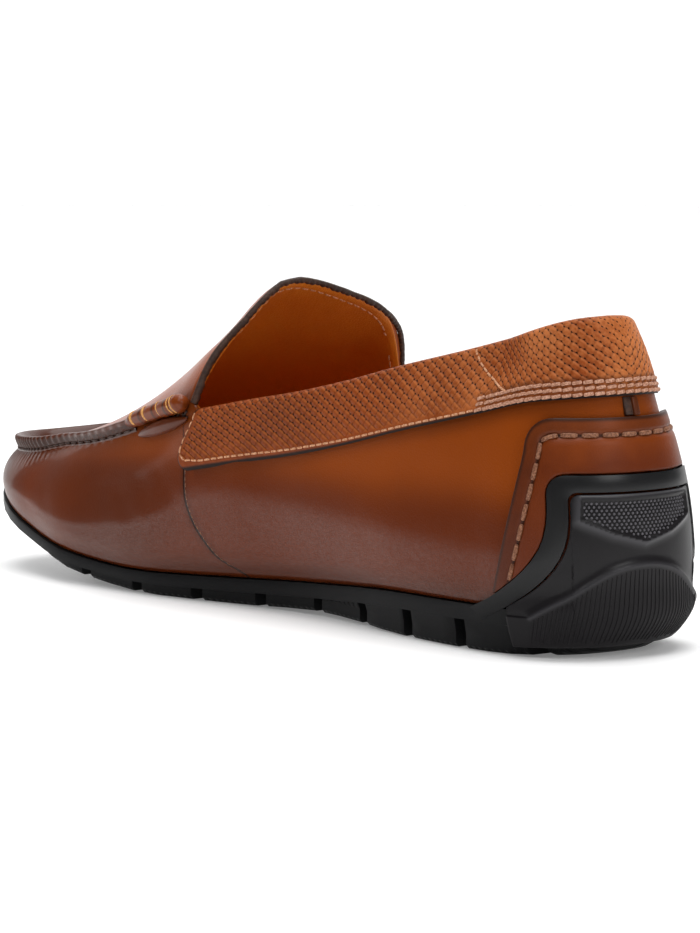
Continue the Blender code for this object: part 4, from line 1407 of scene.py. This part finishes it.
def sew_quarters():
    """Fine stitches beside the curved seam where the vamp meets the quarters."""
    line = resample(QUARTER_SEAM[:-1], 1.9 * MM)
    for label, side in (("inner", 1), ("outer", -1)):
        reach = line[:, 0] - 0.7 * MM - HEEL_AXIS[0] + QUARTER_TURN
        flat = np.stack([reach, line[:, 1]], axis=1) * (side, 1)
        places, facings = touch_all("leather", flat)
        runs = unit(np.gradient(places, axis=0))
        frames = (places, runs, facings)
        name = "quarter_%s_stitches" % label
        sew(name, frames, 1.2 * MM, 0.26 * MM, HEAVY_THREAD, "upper_leather", seat=0.1)


def make_tongue_edge():
    """The bound edge of the tongue, rough and dark."""
    path = set_tongue(resample(TONGUE_EDGE, 0.4 * MM))
    count = len(path)
    run = np.linspace(0, 1, count)
    wobble = np.sin(run * 167) * 0.5 + np.sin(run * 391 + 1.3) * 0.5 + np.sin(run * 59 + 0.4) * 0.4
    radii = (0.90 + 0.13 * wobble + 0.25 * (1 - ease(0, 0.35, run))) * MM
    path = path + unit(spine_of(path) - path) * (0.12 * wobble * MM)[:, None]
    piece = tube_along("tongue_binding", path, radii, up=(1.0, 0.0, 0.001), sides=16)
    smooth_all(piece)
    settle(piece, (EDGE,), "trim_leather")
    sites = resample(path[8:-8:6] + (3.0 * MM, 0, 0), 3.0 * MM)
    sites = sites + unit(spine_of(sites) - sites) * 2.5 * MM
    places, facings = nearest_on("shell", sites)
    runs = unit(np.gradient(places, axis=0))
    sew("tongue_stitches", (places, runs, facings), 2.2 * MM, 0.6 * MM, FINE_THREAD, "trim_leather")


# Sole
def make_sole():
    piece = copy_of("outsole", "outsole_rubber")
    sharp = math.radians(35)
    finish_with(piece, "BEVEL", width=0.35 * MM, segments=2, limit_method="ANGLE", angle_limit=sharp)
    note(piece, "under", ease(-0.45, -0.70, facing_of(piece)[:, 2]))
    smooth_all(piece, 32)
    settle(piece, (SOLE_RUBBER,), "sole_rubber", "outsole")


PAD_MIDDLE = 1.5 * MM

# Spacing of the pad's dots and ribs, in millimetres
DOT_PITCH = 1.2
DOT_RISE = 0.95
RIB_PITCH = 1.15

# Edges of its two fields, as reach from the pad's middle and height
DOT_FIELD = np.array((
    (15.9, 43.9), (16.2, 38.0), (8.0, 34.2), (0.0, 31.8),
    (-8.0, 34.2), (-16.2, 38.0), (-15.9, 43.9), (15.9, 43.9),
)) * MM
PAD_ARCH = np.array((
    (28.0, 11.5), (23.5, 14.3), (18.5, 17.3), (13.2, 21.2), (8.3, 24.1), (3.0, 25.5), (0.0, 25.7),
    (-3.0, 25.5), (-8.3, 24.1), (-13.2, 21.2), (-18.5, 17.3), (-23.5, 14.3), (-28.0, 11.5),
)) * MM


def inside_of(flat, ring):
    """Which flat points lie inside a closed ring."""
    within = np.zeros(len(flat), bool)
    for a, b in zip(ring[:-1], ring[1:]):
        crosses = (a[1] > flat[:, 1]) != (b[1] > flat[:, 1])
        level = a[0] + (flat[:, 1] - a[1]) * (b[0] - a[0]) / (b[1] - a[1] + 1e-12)
        within ^= crosses & (flat[:, 0] < level)
    return within


def make_pad():
    """The heel pad: a framed field of dots, a plain middle and an arched field of ribs."""
    piece = copy_of("heel_pad", "heel_pad_rubber")
    keep_edges(piece, 55, 0.5)
    finish_with(piece, "SUBSURF", levels=3, render_levels=3)
    points = points_of(piece)
    flat = np.stack([reach_of(points) - PAD_MIDDLE, points[:, 2]], axis=1)
    facing = facing_of(piece)
    outside = np.sum(facing[:, :2] * unit(from_heel_line(points)), axis=1) > REAR_FACING
    frame_gap, _ = gap_to(flat, DOT_FIELD)
    dots = inside_of(flat, DOT_FIELD)
    arch_line = resample(PAD_ARCH, 1.0 * MM)
    arch_gap, _ = gap_to(flat, arch_line)
    under = flat[:, 1] < np.interp(flat[:, 0], arch_line[::-1, 0], arch_line[::-1, 1])
    bead = bell(frame_gap, 0.7 * MM)
    lip = bell(arch_gap, 0.6 * MM)
    lift = 0.75 * bead + 0.70 * lip + np.where(under, 0.30 * ease(0, 1 * MM, arch_gap), 0.0)
    lift = lift - np.where(dots, 0.22 * ease(0.5 * MM, 1.2 * MM, frame_gap), 0.0)
    middle = ~under & ~dots
    lift = lift - np.where(middle, 0.30 * ease(0.5 * MM, 2.5 * MM, np.minimum(frame_gap, arch_gap)), 0.0)
    points[outside] += facing[outside] * lift[outside][:, None] * MM
    set_points(piece, points)
    note(piece, "raised", 0.9 * bell(frame_gap - 0.4 * MM, 1.0 * MM) * ~dots + 0.6 * lip)
    smooth_all(piece)
    settle(piece, (PAD_RUBBER,), "pad_rubber", "heel_pad")
    remember("pad", piece)
    make_pad_dots()
    make_pad_ribs()


def model_dot():
    """One low round dot, a millimetre across, with its crown bevelled off."""
    bpy.ops.object.select_all(action="DESELECT")
    bpy.ops.mesh.primitive_cone_add(vertices=6, radius1=0.5, radius2=0.38, depth=0.9, end_fill_type="NGON")
    piece = bpy.context.object
    form = bmesh.new()
    form.from_mesh(piece.data)
    crown = [edge for edge in form.edges if min(vert.co.z for vert in edge.verts) > 0.4]
    bmesh.ops.bevel(form, geom=crown, offset=0.14, segments=1, affect="EDGES")
    form.to_mesh(piece.data)
    form.free()
    points = points_of(piece)
    faces = [tuple(face.vertices) for face in piece.data.polygons]
    bpy.data.objects.remove(piece)
    return points, faces


def scatter(name, shape, flat, size, finish, slot):
    """Copies of one small shape, standing on the heel pad."""
    points, shape_faces = shape
    places, facings = touch_all("pad", flat)
    bodies = []
    faces = []
    for place, facing in zip(places, facings):
        across = unit(np.cross(facing, (0, 0, 1.0)))
        up = np.cross(facing, across)
        start = len(bodies) * len(points)
        bodies.append(place + (points[:, :1] * across + points[:, 1:2] * up + points[:, 2:] * facing) * size)
        faces += [tuple(start + i for i in face) for face in shape_faces]
    piece = new_piece(name, np.concatenate(bodies), faces)
    smooth_all(piece, 40)
    settle(piece, (finish,), slot)


def make_pad_dots():
    flat = []
    for number, height in enumerate(np.arange(32.0, 44, DOT_RISE)):
        for reach in np.arange(-16, 16.1, DOT_PITCH):
            flat.append(((reach + DOT_PITCH / 2 * (number % 2)) * MM, height * MM))
    flat = np.array(flat)
    keep = inside_of(flat, DOT_FIELD) & (gap_to(flat, DOT_FIELD)[0] > 0.8 * MM)
    scatter("heel_pad_dots", model_dot(), flat[keep] + (PAD_MIDDLE, 0), 0.86 * MM, DOT_RUBBER, "pad_rubber")


def make_pad_ribs():
    """Fine ribs that fan down over the heel's strike, each a low rounded strip."""
    arch_line = resample(PAD_ARCH, 0.5 * MM)
    rings = []
    faces = []
    for start in np.arange(-27.0, 27.1, RIB_PITCH):
        top = float(np.interp(start * MM, arch_line[::-1, 0], arch_line[::-1, 1])) - 1.3 * MM
        heights = np.arange(top, 3.9 * MM, -1.1 * MM)
        if len(heights) < 4:
            continue
        lean = 0.16 * start * MM
        reaches = start * MM + lean * (top - heights) / (20 * MM)
        flat = np.stack([reaches + PAD_MIDDLE, heights], axis=1)
        places, facings = touch_all("pad", flat)
        run = unit(np.gradient(places, axis=0))
        across = unit(np.cross(run, facings))
        size = 0.30 * MM * np.sin(np.linspace(0.25, math.pi - 0.25, len(places))) ** 0.3
        first = len(rings) * 4
        for place, side, facing, wide in zip(places, across, facings, size):
            root = place - facing * 0.1 * MM
            crest = place + facing * wide * 0.75
            rings.append(np.stack([root - side * wide, crest - side * wide * 0.5,
                                   crest + side * wide * 0.5, root + side * wide]))
        for i in range(len(places) - 1):
            for k in range(4):
                a = first + i * 4 + k
                b = first + i * 4 + (k + 1) % 4
                faces.append((a, b, b + 4, a + 4))
        last = first + (len(places) - 1) * 4
        faces.append((first, first + 3, first + 2, first + 1))
        faces.append((last, last + 1, last + 2, last + 3))
    piece = new_piece("heel_pad_ribs", np.concatenate(rings), faces)
    face_out(piece)
    smooth_all(piece, 50)
    settle(piece, (PAD_RUBBER,), "pad_rubber")


# The sock's front edge: its place along the shoe, how far it bows and the middle of its bow
SOCK_FRONT = -0.046
SOCK_BOW = 14.0
SOCK_MIDDLE = 0.007
SOCK_SEAM_INSET = 0.0025


def make_insole():
    """The insole, with a bare sock under the heel, stitched across its round front edge."""
    piece = copy_of("insole", "insole_sock")
    keep_edges(piece, 50, 0.8)
    finish_with(piece, "SUBSURF", levels=4, render_levels=4)
    points = points_of(piece)
    front = SOCK_FRONT - SOCK_BOW * (points[:, 1] - SOCK_MIDDLE) ** 2
    note(piece, "sock", ease(-0.0008, 0.0008, front - points[:, 0]))
    smooth_all(piece, 50)
    settle(piece, (LINING,), "insole_leather", "insole")
    remember("sock", piece)
    across = np.linspace(-0.016, 0.030, 40)
    ahead = SOCK_FRONT - SOCK_SEAM_INSET - SOCK_BOW * (across - SOCK_MIDDLE) ** 2
    path = np.stack([ahead, across, np.full(len(across), 0.06)], axis=1)
    hits = [solid("sock").ray_cast(Vector(p), Vector((0, 0, -1))) for p in resample(path, 3.0 * MM)]
    places = np.array([hit[0] for hit in hits])
    facings = np.array([hit[1] for hit in hits])
    frames = (places, unit(np.gradient(places, axis=0)), facings)
    sew("sock_stitches", frames, 2.3 * MM, 0.6 * MM, FINE_THREAD, "insole_leather")


# Floor, light and the last steps
WALL_GLOW = 1.0
WALL_AWAY = 2.4


def stage_sheet(name, size, finish):
    """A plain sheet for the studio, flat on the floor."""
    bpy.ops.object.select_all(action="DESELECT")
    bpy.ops.mesh.primitive_plane_add(size=size, location=(0, 0, 0))
    sheet = bpy.context.object
    sheet.name = name
    sheet.data.materials.append(finish)
    return sheet


def set_floor():
    """White paper on the floor and a lit white wall behind the shoe."""
    paper = Finish("studio_paper", roughness=0.8, specular_ior_level=0.2, emission_strength=0.2)
    tint = paper.noise(0.8, 2.0)
    white = paper.blend((0.88, 0.88, 0.88, 1), (0.90, 0.90, 0.90, 1), tint)
    paper.set(base_color=white, emission_color=white)
    floor = stage_sheet("studio_floor", 14, paper.material)
    floor.location.z = -0.0002
    grey = (0.1, 0.1, 0.1, 1)
    wall_paint = Finish("studio_wall", roughness=0.9, emission_strength=WALL_GLOW, base_color=grey)
    glow = wall_paint.blend((0.98, 0.98, 0.98, 1), (1, 1, 1, 1), wall_paint.noise(0.8, 2.0))
    wall_paint.set(emission_color=glow)
    wall = stage_sheet("studio_wall", 5, wall_paint.material)
    wall.rotation_euler = (math.pi / 2, 0, math.pi / 2 - CAMERA_TURN)
    wall.location = (WALL_AWAY * math.cos(CAMERA_TURN), -WALL_AWAY * math.sin(CAMERA_TURN), 1.9)


def add_light(name, place, size, power, mirrored=True):
    """A soft box that looks at the shoe. mirrored says whether its glossy parts show it."""
    data = bpy.data.lights.new(name, "AREA")
    data.shape = "RECTANGLE"
    data.size, data.size_y = size
    data.energy = power
    light = add_object(name, data)
    light.visible_glossy = mirrored
    light.location = place
    light.rotation_euler = (Vector((0, 0, 0.04)) - Vector(place)).to_track_quat("-Z", "Y").to_euler()


def set_light():
    world = bpy.data.worlds.new("studio_air")
    bpy.context.scene.world = world
    world.use_nodes = True
    air = world.node_tree.nodes["Background"]
    air.inputs["Color"].default_value = (1, 1, 1, 1)
    air.inputs["Strength"].default_value = 0.05
    data = bpy.data.lights.new("ceiling_light", "SUN")
    data.energy = 2.5
    data.angle = math.radians(50)
    ceiling = add_object("ceiling_light", data)
    ceiling.rotation_euler = Vector((0.0, 0.10, -1.0)).to_track_quat("-Z", "Y").to_euler()
    add_light("side_softbox", (-0.70, 1.0, 1.5), (1.0, 0.8), 7)
    add_light("heel_softbox", (-1.5, -0.1, 0.9), (0.7, 0.7), 6)
    add_light("toe_softbox", (0.55, 0.28, 0.26), (0.3, 0.2), 1.3, mirrored=False)
    bpy.context.scene.view_settings.view_transform = "Standard"


set_camera()
set_light()
set_floor()
make_upper()
make_collar_band()
band_stitches()
make_counter()
make_tab()
make_ridge()
make_rolls()
sew_quarters()
make_tongue_edge()
make_sole()
make_pad()
make_insole()
